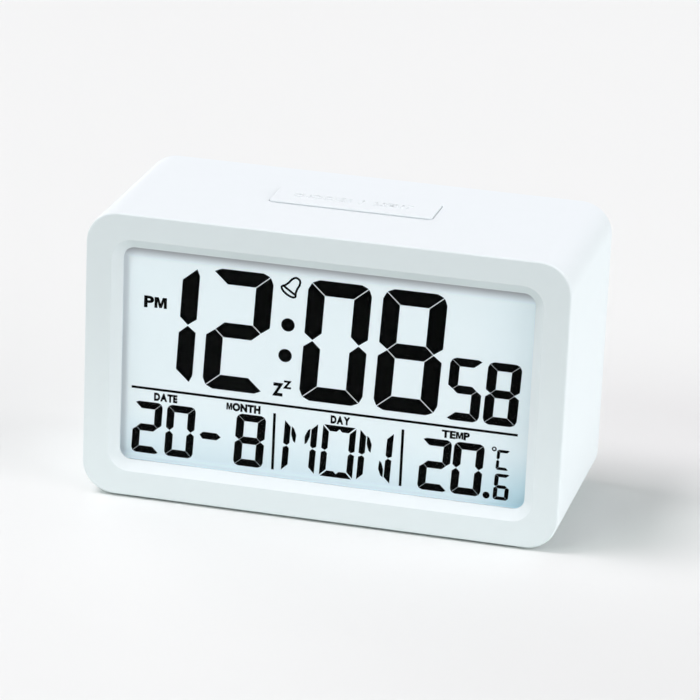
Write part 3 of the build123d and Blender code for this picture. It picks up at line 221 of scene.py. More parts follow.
# Colour, roughness, grain size, depth of relief, spread of tone and, for metals, how metallic each one is
PLAIN_LOOKS = {
    "white_plastic": (srgb(228, 234, 237), 0.52, 0.35 * MM, 0.004 * MM, 0.008),
    "knob_plastic": (srgb(214, 220, 223), 0.4, 0.35 * MM, 0.004 * MM, 0.015),
    "diffuser_film": (srgb(238, 240, 240), 0.7, 0.5 * MM, 0.01 * MM, 0.01),
    "clear_acrylic": (srgb(224, 233, 236), 0.12, 2 * MM, 0.002 * MM, 0.01),
    "carrier_plastic": (srgb(226, 227, 224), 0.5, 0.5 * MM, 0.01 * MM, 0.02),
    "tape": (srgb(226, 230, 230), 0.35, 1 * MM, 0.01 * MM, 0.04),
    "foam": (srgb(206, 216, 220), 0.95, 0.4 * MM, 0.12 * MM, 0.06),
    "contact_rubber": (srgb(70, 72, 76), 0.8, 0.5 * MM, 0.02 * MM, 0.15),
    "foot_rubber": (srgb(92, 94, 96), 0.85, 0.4 * MM, 0.03 * MM, 0.1),
    "led_resin": (srgb(240, 226, 160), 0.25, 1 * MM, 0.004 * MM, 0.05),
    "black_epoxy": (srgb(24, 24, 26), 0.3, 0.8 * MM, 0.03 * MM, 0.2),
    "switch_plastic": (srgb(40, 41, 43), 0.5, 0.4 * MM, 0.01 * MM, 0.1),
    "bright_can": (srgb(206, 208, 210), 0.25, 0.6 * MM, 0.004 * MM, 0.06, 1.0),
    "steel": (srgb(188, 190, 192), 0.32, 0.4 * MM, 0.006 * MM, 0.08, 1.0),
    "plated_spring": (srgb(204, 203, 198), 0.26, 0.4 * MM, 0.005 * MM, 0.08, 1.0),
    "brass_plate": (srgb(212, 176, 96), 0.3, 0.5 * MM, 0.005 * MM, 0.1, 1.0),
    "ceramic": (srgb(232, 224, 204), 0.6, 0.5 * MM, 0.01 * MM, 0.05),
    "red_lead": (srgb(178, 34, 32), 0.45, 0.5 * MM, 0.01 * MM, 0.08),
    "black_lead": (srgb(28, 28, 30), 0.45, 0.5 * MM, 0.01 * MM, 0.12),
    "display_ink": (srgb(6, 7, 7), 0.5, 1 * MM, 0.002 * MM, 0.2),
    "print_ink": (srgb(120, 126, 132), 0.6, 0.3 * MM, 0.004 * MM, 0.08),
}
# How strongly light glances off these two, where a plain finish has 0.5
GLANCE = {"white_plastic": 0.3, "display_ink": 0.0}


# Display glass: the strip that the frame hides along each edge, then the reach and the share of each tint,
# of the painted shadow along the upper and left edges and of the glow, whose extra at the foot and over the
# upper half is painted light

LCD_COVERED = 1.6 * MM
LCD_PALE = srgb(226, 235, 240)
LCD_BLUE = srgb(150, 192, 208)
# Colour of the painted shadow that the frame's lip would cast along the glass's upper and left edges
LCD_PAINTED_SHADOW = srgb(150, 150, 156)
LCD_ROUGHNESS = 0.45
BLUE_SIDE_REACH = 22 * MM
BLUE_SIDE_SHARE = 0.12
BLUE_FOOT_REACH = 20 * MM
BLUE_FOOT_SHARE = 0.30
BLUE_CORNER_SHARE = 0.38
BLUE_CLOUD_SIZE = 6 * MM
BLUE_CLOUD_SHARE = 0.02
# Reach of the painted shadow below the upper edge and beside the left one, and its share on the left
SHADOW_TOP_REACH = 4.4 * MM
SHADOW_LEFT_REACH = 1.7 * MM
SHADOW_LEFT_SHARE = 0.28
NO_GLOW = (0.0, 0.0, 0.0, 1.0)
GLOW_SHARE = 0.22
# Painted light: extra glow along the foot, where the frame's lip shades the glass, and over its upper half
PAINTED_FOOT_LIGHT_REACH = 2.2 * MM
PAINTED_FOOT_LIGHT_HIDDEN = 0.9 * MM
PAINTED_FOOT_LIGHT_SHARE = 0.3
PAINTED_TOP_LIGHT_REACH = 12 * MM
PAINTED_TOP_LIGHT_SHARE = 0.09


def lcd_finish():
    """Pale display glass, bluer towards its right and lower edges, with a painted shadow of the frame's lip
    along its upper and left ones and painted light glowing at its foot and over its upper half.
    """
    material, place = start_finish("lcd_glass")
    x = place.axis("X")
    z = place.axis("Z")
    seen_left = LCD_LOW.x + LCD_COVERED
    seen_foot = LCD_LOW.z + LCD_COVERED
    seen_top = LCD_HIGH.z - LCD_COVERED
    side = x.ease(LCD_HIGH.x - BLUE_SIDE_REACH, LCD_HIGH.x)
    foot = z.ease(LCD_LOW.z + BLUE_FOOT_REACH, LCD_LOW.z)
    tint = BLUE_SIDE_SHARE * side + BLUE_FOOT_SHARE * foot + BLUE_CORNER_SHARE * side * foot
    lit = (tint + BLUE_CLOUD_SHARE * place.noise(BLUE_CLOUD_SIZE)).between(LCD_PALE, LCD_BLUE)
    # Painted shadow of the frame's lip along the upper and left edges
    painted_top_shadow = z.ease(seen_top - SHADOW_TOP_REACH, seen_top)
    painted_left_shadow = SHADOW_LEFT_SHARE * x.ease(seen_left + SHADOW_LEFT_REACH, seen_left)
    colour = painted_top_shadow.either(painted_left_shadow).between(lit, LCD_PAINTED_SHADOW)
    # Painted light: more glow along the foot, which the frame's lip shades, and over the upper half
    painted_foot_light = PAINTED_FOOT_LIGHT_SHARE * z.ease(seen_foot + PAINTED_FOOT_LIGHT_REACH, seen_foot - PAINTED_FOOT_LIGHT_HIDDEN)
    painted_top_light = PAINTED_TOP_LIGHT_SHARE * z.ease(LCD_MIDDLE.z - PAINTED_TOP_LIGHT_REACH, LCD_HIGH.z)
    set_surface(material, {
        "Base Color": colour,
        "Roughness": LCD_ROUGHNESS,
        "Emission Color": (GLOW_SHARE + painted_foot_light + painted_top_light).between(NO_GLOW, colour),
        "Emission Strength": 1.0,
    })
    return material


# Window sheet

WINDOW_GLOSS = (0.2, 0.2, 0.2, 1.0)
WINDOW_ROUGHNESS = 0.08
WINDOW_BLEND = 0.05


def window_finish():
    """Thin clear plastic: it lets all light through apart from a faint gloss."""
    material, place = start_finish("clear_window")
    tree = material.node_tree
    clear = place.node("ShaderNodeBsdfTransparent", {}, {})
    gloss = place.node("ShaderNodeBsdfGlossy", {}, {"Color": WINDOW_GLOSS, "Roughness": WINDOW_ROUGHNESS})
    share = place.node("ShaderNodeLayerWeight", {}, {"Blend": WINDOW_BLEND}, "Facing")
    sheet = place.node("ShaderNodeMixShader", {}, {0: share, 1: clear, 2: gloss})
    tree.links.new(sheet.socket, tree.nodes["Material Output"].inputs["Surface"])
    return material


# Circuit boards

BOARD_GREEN = srgb(22, 84, 52)
TRACK_GREEN = srgb(48, 122, 78)
TRACKS_PER_METRE = 320.0
TRACK_WIDTH_SHARE = 0.12
TRACK_RELIEF = 0.03 * MM
LACQUER_GRAIN = 0.6 * MM
LACQUER_ROUGHNESS = 0.35
LACQUER_SPREAD = 0.15


def board_finish():
    """Green circuit board with paler copper tracks under its lacquer."""
    material, place = start_finish("circuit_board")
    settings = {"feature": "DISTANCE_TO_EDGE"}
    edge = place.node("ShaderNodeTexVoronoi", settings, {"Vector": place, "Scale": TRACKS_PER_METRE})
    track = edge < TRACK_WIDTH_SHARE
    set_surface(material, {
        "Base Color": track.between(BOARD_GREEN, TRACK_GREEN),
        "Roughness": LACQUER_ROUGHNESS + LACQUER_SPREAD * place.noise(LACQUER_GRAIN),
        "Normal": track.bump(TRACK_RELIEF),
    })
    return material


# Dry cells: lengths are measured in from the end that they are at

CELL_METAL = srgb(196, 197, 196)
CELL_BUTTON = 2.2 * MM
CELL_BASE = 1.2 * MM
JACKET_BLUE = srgb(46, 62, 92)
JACKET_PALE = srgb(206, 210, 214)
JACKET_GOLD = srgb(214, 168, 70)
JACKET_DARK = srgb(30, 36, 46)
PALE_BAND_END = 14 * MM
GOLD_LINE_START = 14.4 * MM
GOLD_LINE_END = 15.2 * MM
SIGN_PLACE = 8 * MM
SIGN_LENGTH = 3.4 * MM
SIGN_WIDTH = 0.8 * MM
JACKET_GRAIN = 0.5 * MM
JACKET_RELIEF = 0.004 * MM
JACKET_ROUGHNESS = 0.3
JACKET_SPREAD = 0.12


def on_bar(along, across):
    """1 on a printed bar that is long one way and narrow across it, 0 off it."""
    lengthwise = (along > -SIGN_LENGTH / 2) * (along < SIGN_LENGTH / 2)
    return lengthwise * (across > -SIGN_WIDTH / 2) * (across < SIGN_WIDTH / 2)


def cell_finish(name, node, plus_side):
    """A dry cell: metal ends, a dark jacket, a pale band at its positive end, and its two signs."""
    material, place = start_finish(name)
    low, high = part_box(node)
    middle = middle_of(node)
    half = (high.x - low.x) / 2
    along = plus_side * (place.axis("X") - middle.x)
    around = place.axis("Z") - middle.z
    metal = 1 - (along < half - CELL_BUTTON) * (along > CELL_BASE - half)
    pale = (along > half - PALE_BAND_END) * (1 - metal)
    gold = (along > half - GOLD_LINE_END) * (along < half - GOLD_LINE_START)
    past_plus = along - (half - SIGN_PLACE)
    past_minus = along + (half - SIGN_PLACE)
    plus = on_bar(past_plus, around).either(on_bar(around, past_plus))
    minus = on_bar(around, past_minus)
    jacket = pale.between(JACKET_BLUE, JACKET_PALE)
    jacket = gold.between(jacket, JACKET_GOLD)
    jacket = plus.between(jacket, JACKET_DARK)
    jacket = minus.between(jacket, JACKET_PALE)
    speck = place.noise(JACKET_GRAIN)
    set_surface(material, {
        "Base Color": metal.between(jacket, CELL_METAL),
        "Metallic": metal,
        "Roughness": JACKET_ROUGHNESS + JACKET_SPREAD * speck,
        "Normal": speck.bump(JACKET_RELIEF),
    })
    return material


# Ribbon cables

# The darker colour is painted shade in the grooves between the wires; the paler one is the cable's own
RIBBON_GROOVE_SHADE = srgb(150, 154, 158)
RIBBON_PALE = srgb(206, 208, 210)
WIRE_PITCH = 1.27 * MM
WIRE_RELIEF = 0.1 * MM
WAVE_WIDTH = 0.314
RIBBON_GRAIN = 1 * MM
RIBBON_ROUGHNESS = 0.4
RIBBON_SPREAD = 0.1


def ribbon_finish():
    """Flat ribbon of parallel wires, with painted shade darkening the grooves between them; a wave at scale
    1 is WAVE_WIDTH metres wide.
    """
    material, place = start_finish("ribbon")
    settings = {"wave_type": "BANDS", "bands_direction": "X"}
    inputs = {"Vector": place, "Scale": WAVE_WIDTH / WIRE_PITCH}
    wave = place.node("ShaderNodeTexWave", settings, inputs, "Fac")
    set_surface(material, {
        "Base Color": wave.between(RIBBON_GROOVE_SHADE, RIBBON_PALE),
        "Roughness": RIBBON_ROUGHNESS + RIBBON_SPREAD * place.noise(RIBBON_GRAIN),
        "Normal": wave.bump(WIRE_RELIEF),
    })
    return material


# The finish of every material slot, of the two cells and of the inks

FINISHES = {name: grained_finish(name, *look) for name, look in PLAIN_LOOKS.items()}
for name, level in GLANCE.items():
    set_surface(FINISHES[name], {"Specular IOR Level": level})
FINISHES["clear_window"] = window_finish()
FINISHES["lcd_glass"] = lcd_finish()
FINISHES["circuit_board"] = board_finish()
FINISHES["ribbon"] = ribbon_finish()
CELL_FINISHES = {
    "battery_upper": cell_finish("cell_jacket_upper", "battery_upper", 1),
    "battery_lower": cell_finish("cell_jacket_lower", "battery_lower", -1),
}


def finish_of(node):
    """The material that a CAD node wears."""
    return CELL_FINISHES.get(node) or FINISHES[SLOT_OF_NODE[node]]


# Pieces made from meshes

MERGE_DISTANCE = 0.001 * MM
SHARP_ANGLE = radians(32)
SMOOTH_NODES = (
    "main_case", "rear_cover", "snooze_bar", "battery_door", "door_latch", "alarm_slider",
    "button_mode", "button_up", "button_down", "button_alarm", "rubber_feet",
    "battery_upper", "battery_lower", "contact_springs",
)


def mesh_data(name, mesh):
    """A bmesh as mesh data; the bmesh is freed."""
    data = bpy.data.meshes.new(name)
    mesh.to_mesh(data)
    mesh.free()
    return data


def take_in(mesh, data):
    """Add mesh data to a bmesh, and remove the data."""
    mesh.from_mesh(data)
    bpy.data.meshes.remove(data)


def put_in_scene(name, data):
    """A new object of the scene with the given data."""
    made = bpy.data.objects.new(name, data)
    bpy.context.scene.collection.objects.link(made)
    return made


def add_piece(name, mesh, material, body):
    """Turn a bmesh into a piece that rides on a body."""
    data = mesh_data(name, mesh)
    data.materials.append(material)
    piece = put_in_scene(name, data)
    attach(piece, body)
    return piece


def add_smooth_skin(node):
    """A merged copy of a node, shaded smooth over its rounded edges, that stands for it."""
    source = frame["nodes"][node]
    mesh = bmesh.new()
    mesh.from_mesh(source.data)
    bmesh.ops.remove_doubles(mesh, verts=mesh.verts, dist=MERGE_DISTANCE)
    for face in mesh.faces:
        face.smooth = True
        face.material_index = 0
    for edge in mesh.edges:
        edge.smooth = edge.calc_face_angle(pi) < SHARP_ANGLE
    skin = add_piece(node + "_skin", mesh, finish_of(node), source["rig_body"])
    even = skin.modifiers.new("even_normals", "WEIGHTED_NORMAL")
    even.keep_sharp = True
    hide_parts(node)


def panel(origin, right, up):
    """The matrix that sets a flat drawing on a face, with its right and up directions."""
    right = Vector(right)
    up = Vector(up)
    matrix = Matrix((right, up, right.cross(up))).transposed().to_4x4()
    matrix.translation = origin
    return matrix


# Screws of the rear cover

SCREW_HEAD_RADIUS = 2.2 * MM
SCREW_HEAD_HEIGHT = 1.4 * MM
SCREW_HEAD_SIDES = 48
SCREW_SHANK_RADIUS = 1.3 * MM
SCREW_SHANK_SIDES = 24
SCREW_RIM = 0.25 * MM
SCREW_RIM_STEPS = 4
RECESS_REACH = 1.25 * MM
RECESS_WIDTH = 0.5 * MM
RECESS_DEPTH = 0.8 * MM
RECESS_TAPER = 0.7
LOOKS_UP = 0.999


def top_faces(mesh):
    """The faces that look straight up."""
    mesh.normal_update()
    return [face for face in mesh.faces if face.normal.z > LOOKS_UP]


def cut_top(mesh, axis, reach):
    """Cut the flat top of a screw across an axis, a reach away from its middle."""
    parts = []
    for face in top_faces(mesh):
        parts += [face, *face.edges, *face.verts]
    bmesh.ops.bisect_plane(mesh, geom=list(dict.fromkeys(parts)), plane_co=axis * reach, plane_no=axis)


def sink_cross(mesh):
    """Cut a cross into the flat top of a screw and press it down, narrower at its floor."""
    for axis in (Vector((1, 0, 0)), Vector((0, 1, 0))):
        for reach in (RECESS_REACH, RECESS_WIDTH / 2, -RECESS_WIDTH / 2, -RECESS_REACH):
            cut_top(mesh, axis, reach)
    cross = []
    for face in top_faces(mesh):
        middle = face.calc_center_median()
        near, far = sorted((abs(middle.x), abs(middle.y)))
        if near < RECESS_WIDTH / 2 and far < RECESS_REACH:
            cross.append(face)
    sunk = bmesh.ops.extrude_face_region(mesh, geom=cross)
    bmesh.ops.delete(mesh, geom=cross, context="FACES")
    floor = [part for part in sunk["geom"] if isinstance(part, bmesh.types.BMVert)]
    bmesh.ops.scale(mesh, verts=floor, vec=(RECESS_TAPER, RECESS_TAPER, 1))
    bmesh.ops.translate(mesh, verts=floor, vec=(0, 0, -RECESS_DEPTH))


def screw_mesh(length):
    """One screw with its head's face at height zero, pointing up, and its shank below."""
    mesh = bmesh.new()
    sunk = Matrix.Translation((0, 0, -SCREW_HEAD_HEIGHT / 2))
    bmesh.ops.create_cone(mesh, cap_ends=True, segments=SCREW_HEAD_SIDES, radius1=SCREW_HEAD_RADIUS,
                          radius2=SCREW_HEAD_RADIUS, depth=SCREW_HEAD_HEIGHT, matrix=sunk)
    top = max(mesh.faces, key=lambda face: face.calc_center_median().z)
    bmesh.ops.bevel(mesh, geom=top.edges[:], offset=SCREW_RIM, segments=SCREW_RIM_STEPS, profile=0.5,
                    affect="EDGES", material=-1)
    sink_cross(mesh)
    shank = length - SCREW_HEAD_HEIGHT
    below = Matrix.Translation((0, 0, -SCREW_HEAD_HEIGHT - shank / 2))
    bmesh.ops.create_cone(mesh, cap_ends=True, segments=SCREW_SHANK_SIDES, radius1=SCREW_SHANK_RADIUS,
                          radius2=SCREW_SHANK_RADIUS, depth=shank, matrix=below)
    return mesh


def add_cover_screws():
    """The four screws that hold the rear cover, with crossed heads."""
    low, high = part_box("cover_screws")
    screws = bmesh.new()
    for x in (low.x + SCREW_HEAD_RADIUS, high.x - SCREW_HEAD_RADIUS):
        for z in (low.z + SCREW_HEAD_RADIUS, high.z - SCREW_HEAD_RADIUS):
            screw = screw_mesh(high.y - low.y)
            screw.transform(panel((x, high.y, z), LEFTWARDS, UPWARDS))
            take_in(screws, mesh_data("screw", screw))
    piece = add_piece("crossed_cover_screws", screws, FINISHES["steel"], "case")
    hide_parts("cover_screws")


# Flat art: outlines drawn in a panel's own plane, then raised a little

DISC_SIDES = 32


def draw_outline(mesh, points):
    """A filled outline through the given points."""
    face = mesh.faces.new([mesh.verts.new((x, y, 0)) for x, y in points])
    face.normal_update()
    return face


def draw_disc(mesh, centre, radius, sides=DISC_SIDES):
    """A filled round dot."""
    place = Matrix.Translation((*centre, 0))
    rim = bmesh.ops.create_circle(mesh, cap_ends=True, radius=radius, segments=sides, matrix=place)
    return rim["verts"][0].link_faces[0]


def draw_bar(mesh, start, end, width):
    """A straight line of the given width."""
    start = Vector(start)
    end = Vector(end)
    across = (end - start).orthogonal().normalized() * (width / 2)
    draw_outline(mesh, [start + across, start - across, end - across, end + across])


def hollow(mesh, face, stroke):
    """Leave only a stroke of the given width along the inside of an outline."""
    bmesh.ops.inset_region(mesh, faces=[face], thickness=stroke, use_boundary=True, use_even_offset=True)
    bmesh.ops.delete(mesh, geom=[face], context="FACES_ONLY")


def add_art(name, mesh, place, thickness, material, body):
    """Raise a flat drawing by its thickness and set it on its panel."""
    bmesh.ops.remove_doubles(mesh, verts=mesh.verts, dist=MERGE_DISTANCE)
    raised = bmesh.ops.extrude_face_region(mesh, geom=mesh.faces[:], use_keep_orig=True)
    top = [part for part in raised["geom"] if isinstance(part, bmesh.types.BMVert)]
    bmesh.ops.translate(mesh, verts=top, vec=(0, 0, thickness))
    bmesh.ops.recalc_face_normals(mesh, faces=mesh.faces)
    mesh.transform(place)
    add_piece(name, mesh, material, body)


# Words in plain capitals, in the font's own units, with the M in shares of a capital's height

CAP_HEIGHT = 0.69
LETTER_SPACE = 0.03
LETTER_WEIGHT = 0.045
LETTER_M_SHARES = (
    (0, 0), (0, 1), (0.31, 1), (0.46, 0.42), (0.61, 1), (0.92, 1), (0.92, 0), (0.7, 0),
    (0.7, 0.62), (0.56, 0.03), (0.36, 0.03), (0.22, 0.62), (0.22, 0),
)


def drawn_letter_m():
    """A thick M as flat mesh data, drawn here because the font's own doesn't thicken."""
    flat = bmesh.new()
    draw_outline(flat, [(x * CAP_HEIGHT, y * CAP_HEIGHT) for x, y in LETTER_M_SHARES])
    return mesh_data("letter", flat)


def font_letter(letter, weight):
    """A capital or sign of the font as flat mesh data, thickened by a weight."""
    curve = bpy.data.curves.new("letter", "FONT")
    curve.body = letter
    curve.offset = weight
    holder = bpy.data.objects.new("letter", curve)
    data = bpy.data.meshes.new_from_object(holder)
    bpy.data.objects.remove(holder)
    bpy.data.curves.remove(curve)
    return data


def draw_word(mesh, word, centre, height, width=None, weight=LETTER_WEIGHT):
    """Plain capitals of the given height about a centre, drawn out to a width if one is given."""
    line = bmesh.new()
    pen = 0.0
    for letter in word:
        data = drawn_letter_m() if letter == "M" else font_letter(letter, weight)
        left = min(vert.co.x for vert in data.vertices)
        right = max(vert.co.x for vert in data.vertices)
        data.transform(Matrix.Translation((pen - left, 0, 0)))
        take_in(line, data)
        pen += right - left + LETTER_SPACE
    length = pen - LETTER_SPACE
    tall = height / CAP_HEIGHT
    wide = width / length if width else tall
    middle = Matrix.Translation((-length / 2, -CAP_HEIGHT / 2, 0))
    line.transform(Matrix.Translation((*centre, 0)) @ Matrix.Diagonal((wide, tall, 1, 1)) @ middle)
    take_in(mesh, mesh_data("word", line))


# Seven-bar digits of the readout, which is drawn in millimetres from the middle of the glass

SLANT = 0.05
CORNER_SHARE = 0.62
MITRE_SHARE = 0.3
SHOULDER_SHARE = 0.42
BARS_OF_DIGIT = {
    "0": "abcdef", "1": "bc", "2": "abdeg", "5": "acdfg", "6": "acdefg", "8": "abcdefg", "C": "adef",
}

# Width, height, width of the upright bars and of the level ones, and the gap between bars
TIME_DIGIT = (17.8, 35.0, 4.8, 4.3, 0.15)
SECONDS_DIGIT = (9.4, 18.0, 2.7, 2.35, 0.07)
DATE_DIGIT = (8.2, 15.2, 2.15, 2.05, 0.06)
MONTH_DIGIT = (8.4, 15.3, 2.25, 2.05, 0.06)
DEGREES_DIGIT = (8.5, 15.2, 2.2, 2.05, 0.06)
TENTHS_DIGIT = (4.3, 7.6, 1.15, 0.95, 0.05)
UNIT_SIGN = (3.65, 5.85, 0.85, 0.8, 0.05)

# Each digit with its left edge, its foot and its sizes
DIGITS = (
    ("1", -55.7, -8.0, TIME_DIGIT),
    ("2", -34.9, -8.0, TIME_DIGIT),
    ("0", -7.35, -8.0, TIME_DIGIT),
    ("8", 13.6, -8.0, TIME_DIGIT),
    ("5", 33.75, -8.35, SECONDS_DIGIT),
    ("8", 44.2, -8.35, SECONDS_DIGIT),
    ("2", -54.9, -29.5, DATE_DIGIT),
    ("0", -45.35, -29.5, DATE_DIGIT),
    ("8", -25.4, -29.6, MONTH_DIGIT),
    ("2", 27.0, -29.65, DEGREES_DIGIT),
    ("0", 36.15, -29.65, DEGREES_DIGIT),
    ("6", 48.15, -29.8, TENTHS_DIGIT),
    ("C", 48.55, -21.1, UNIT_SIGN),
)


def mirrored(points, width):
    """An outline turned left to right within a width."""
    return [(width - x, y) for x, y in points]


def flipped(points, height):
    """An outline turned upside down within a height."""
    return [(x, height - y) for x, y in points]


def bar_outlines(width, height, upright, level, gap):
    """The seven bars of an upright digit, lettered as usual from the top one clockwise."""
    middle = height / 2
    corner = CORNER_SHARE * upright
    mitre = MITRE_SHARE * corner
    shoulder = SHOULDER_SHARE * level
    tip = upright / 2
    inner_left = upright + gap
    inner_right = width - upright - gap
    bottom = [(corner, 0), (width - corner, 0), (width - mitre - gap, mitre), (inner_right, level),
              (inner_left, level), (mitre + gap, mitre)]
    low_left = [(0, corner), (mitre, mitre + gap), (upright, level + gap),
                (upright, middle - level / 2 - gap), (tip, middle - gap), (0, middle - shoulder - gap)]
    crossbar = [(tip + gap, middle), (inner_left, middle - level / 2), (inner_right, middle - level / 2),
                (width - tip - gap, middle), (inner_right, middle + level / 2),
                (inner_left, middle + level / 2)]
    high_left = flipped(low_left, height)
    return {
        "a": flipped(bottom, height),
        "b": mirrored(high_left, width),
        "c": mirrored(low_left, width),
        "d": bottom,
        "e": low_left,
        "f": high_left,
        "g": crossbar,
    }


def draw_slanted(mesh, points, left, foot):
    """An outline in a digit's own corner, leant over and moved to its place."""
    draw_outline(mesh, [(left + x + SLANT * y, foot + y) for x, y in points])


def draw_digit(mesh, digit, left, foot, sizes):
    """One seven-bar digit."""
    outlines = bar_outlines(*sizes)
    for bar in BARS_OF_DIGIT[digit]:
        draw_slanted(mesh, outlines[bar], left, foot)


# Weekday letters of the readout: their sizes, the leaf of a slant, and each letter's bars and left edge

WEEKDAY_WIDTH = 9.4
WEEKDAY_HEIGHT = 15.2
WEEKDAY_STROKE = 1.75
WEEKDAY_FOOT = -29.5
WEEKDAY_HALF_GAP = 0.1
LEAN_SHARE = 0.16
NOTCH_SHARE = 0.45
TIP_SHARE = 0.6
SLOPE_SHARE = 0.35
LEAF = ((2.05, 13.35), (2.7, 12.85), (3.5, 10.95), (3.35, 8.6), (2.75, 9.1), (2.05, 11.05))
WEEKDAY = (("efhjbc", -11.65), ("abcdef", -0.8), ("efhmbc", 9.75))


def weekday_outlines():
    """The upright bars at a letter's sides, its notched level bars and the slim leaves of its slants."""
    width = WEEKDAY_WIDTH
    height = WEEKDAY_HEIGHT
    stroke = WEEKDAY_STROKE
    centre = width / 2
    middle = height / 2
    lean = LEAN_SHARE * stroke
    notch = NOTCH_SHARE * stroke
    side = [(0, lean), (stroke, stroke + lean), (stroke, middle - notch),
            (TIP_SHARE * stroke, middle - WEEKDAY_HALF_GAP), (0, middle - SLOPE_SHARE * stroke)]
    level = [(lean, 0), (stroke + lean, stroke), (centre - notch, stroke), (centre, stroke - notch),
             (centre + notch, stroke), (width - stroke - lean, stroke), (width - lean, 0)]
    return {
        "a": flipped(level, height),
        "b": flipped(mirrored(side, width), height),
        "c": mirrored(side, width),
        "d": level,
        "e": side,
        "f": flipped(side, height),
        "h": LEAF,
        "j": mirrored(LEAF, width),
        "m": flipped(mirrored(LEAF, width), height),
    }


def draw_weekday(mesh):
    """The three letters of the day."""
    outlines = weekday_outlines()
    for bars, left in WEEKDAY:
        for bar in bars:
            draw_slanted(mesh, outlines[bar], left, WEEKDAY_FOOT)


# The bell of the readout: the right half of its outline and the line of its mouth, in shares of its height

BELL_HALF_SHARES = (
    (0.0, 0.55), (0.13, 0.53), (0.22, 0.44), (0.29, 0.28), (0.31, 0.04), (0.37, -0.17), (0.46, -0.29),
    (0.47, -0.38), (0.39, -0.48), (0.22, -0.55), (0.0, -0.57),
)
BELL_MOUTH_SHARES = ((-0.42, -0.27), (0.42, -0.27))
BELL_STROKE_SHARE = 0.105
BELL_CENTRE = (-10.15, 24.3)
BELL_HEIGHT = 5.6
BELL_TILT = radians(34)


def in_bell(shares):
    """Points of the upright bell, leant over about its centre and set in its place."""
    turn = Matrix.Rotation(-BELL_TILT, 2)
    return [Vector(BELL_CENTRE) + turn @ Vector(share) * BELL_HEIGHT for share in shares]


def draw_bell(mesh):
    """An outlined bell with a line across its mouth."""
    left_half = [(-x, y) for x, y in reversed(BELL_HALF_SHARES[1:-1])]
    stroke = BELL_STROKE_SHARE * BELL_HEIGHT
    hollow(mesh, draw_outline(mesh, in_bell([*BELL_HALF_SHARES, *left_half])), stroke)
    start, end = in_bell(BELL_MOUTH_SHARES)
    draw_bar(mesh, start, end, stroke)


# The readout's dots, lines and labels

COLON_DOTS = ((-11.07, 13.13), (-11.58, 4.21))
COLON_RADIUS = 1.9
POINT_CENTRE = (46.37, -28.9)
POINT_RADIUS = 0.98
DEGREE_CENTRE = (47.95, -15.2)
DEGREE_RADIUS = 0.68
DEGREE_STROKE = 0.36
DEGREE_SIDES = 24
DASH = ((0, 0.15), (0.9, 1.05), (4.8, 1.05), (6.1, 0), (4.9, -1.0), (0.9, -1.0))
DASH_LEFT = -35.2
DASH_LEVEL = -22.1

# Start, end and width of each line
LINES = (
    ((-55.1, -10.35), (54.2, -10.45), 0.7),
    ((-13.95, -12.95), (-14.05, -29.5), 0.75),
    ((22.35, -12.95), (22.25, -29.5), 0.75),
)

# Each word with its centre, height, width and weight
LABELS = (
    ("PM", (-48.8, 15.0), 3.1, 6.5, 0.04),
    ("DATE", (-45.2, -12.5), 2.0, 6.7, 0.065),
    ("MONTH", (-22.87, -12.57), 2.0, 9.7, 0.065),
    ("DAY", (4.7, -12.6), 2.0, 5.5, 0.065),
    ("TEMP", (37.1, -12.65), 2.0, 7.8, 0.05),
    ("Z", (-13.3, -5.85), 3.4, 3.1, 0.05),
    ("Z", (-10.65, -4.2), 2.1, 2.45, 0.05),
)
INK_THICKNESS = 0.05 * MM


def add_readout():
    """Everything that the display shows, as one thin piece on its glass."""
    mesh = bmesh.new()
    for digit in DIGITS:
        draw_digit(mesh, *digit)
    draw_weekday(mesh)
    for dot in COLON_DOTS:
        draw_disc(mesh, dot, COLON_RADIUS)
    draw_disc(mesh, POINT_CENTRE, POINT_RADIUS)
    hollow(mesh, draw_disc(mesh, DEGREE_CENTRE, DEGREE_RADIUS, DEGREE_SIDES), DEGREE_STROKE)
    draw_slanted(mesh, DASH, DASH_LEFT, DASH_LEVEL)
    for line in LINES:
        draw_bar(mesh, *line)
    draw_bell(mesh)
    for label in LABELS:
        draw_word(mesh, *label)
    mesh.transform(Matrix.Scale(MM, 4))
    glass = panel((LCD_MIDDLE.x, LCD_LOW.y, LCD_MIDDLE.z), RIGHTWARDS, UPWARDS)
    add_art("lcd_readout", mesh, glass, INK_THICKNESS, FINISHES["display_ink"], "case")


# Lettering on the back and on the snooze bar

LEGEND_HEIGHT = 1.9 * MM
LEGEND_DROP = 5.2 * MM
KEY_WORDS = {"button_mode": "MODE", "button_alarm": "ALARM"}
KEY_ARROWS = {"button_up": 1, "button_down": -1}
ARROW_HALF_WIDTH = 1.3 * MM
ARROW_HALF_HEIGHT = 1.1 * MM
SLIDER_WORDS = {"OFF": 1.2 * MM, "ON": -4.6 * MM}
SNOOZE_WORDS = {"SNOOZE": -9.4 * MM, "/": 1.6 * MM, "LIGHT": 10.6 * MM}
SNOOZE_WORD_HEIGHT = 2.6 * MM
SNOOZE_WORD_RISE = 0.06 * MM


def below(node):
    """The place for a legend under a key or knob, in a drawing on the back, whose right is leftwards."""
    middle = middle_of(node)
    return -middle.x, middle.z - LEGEND_DROP


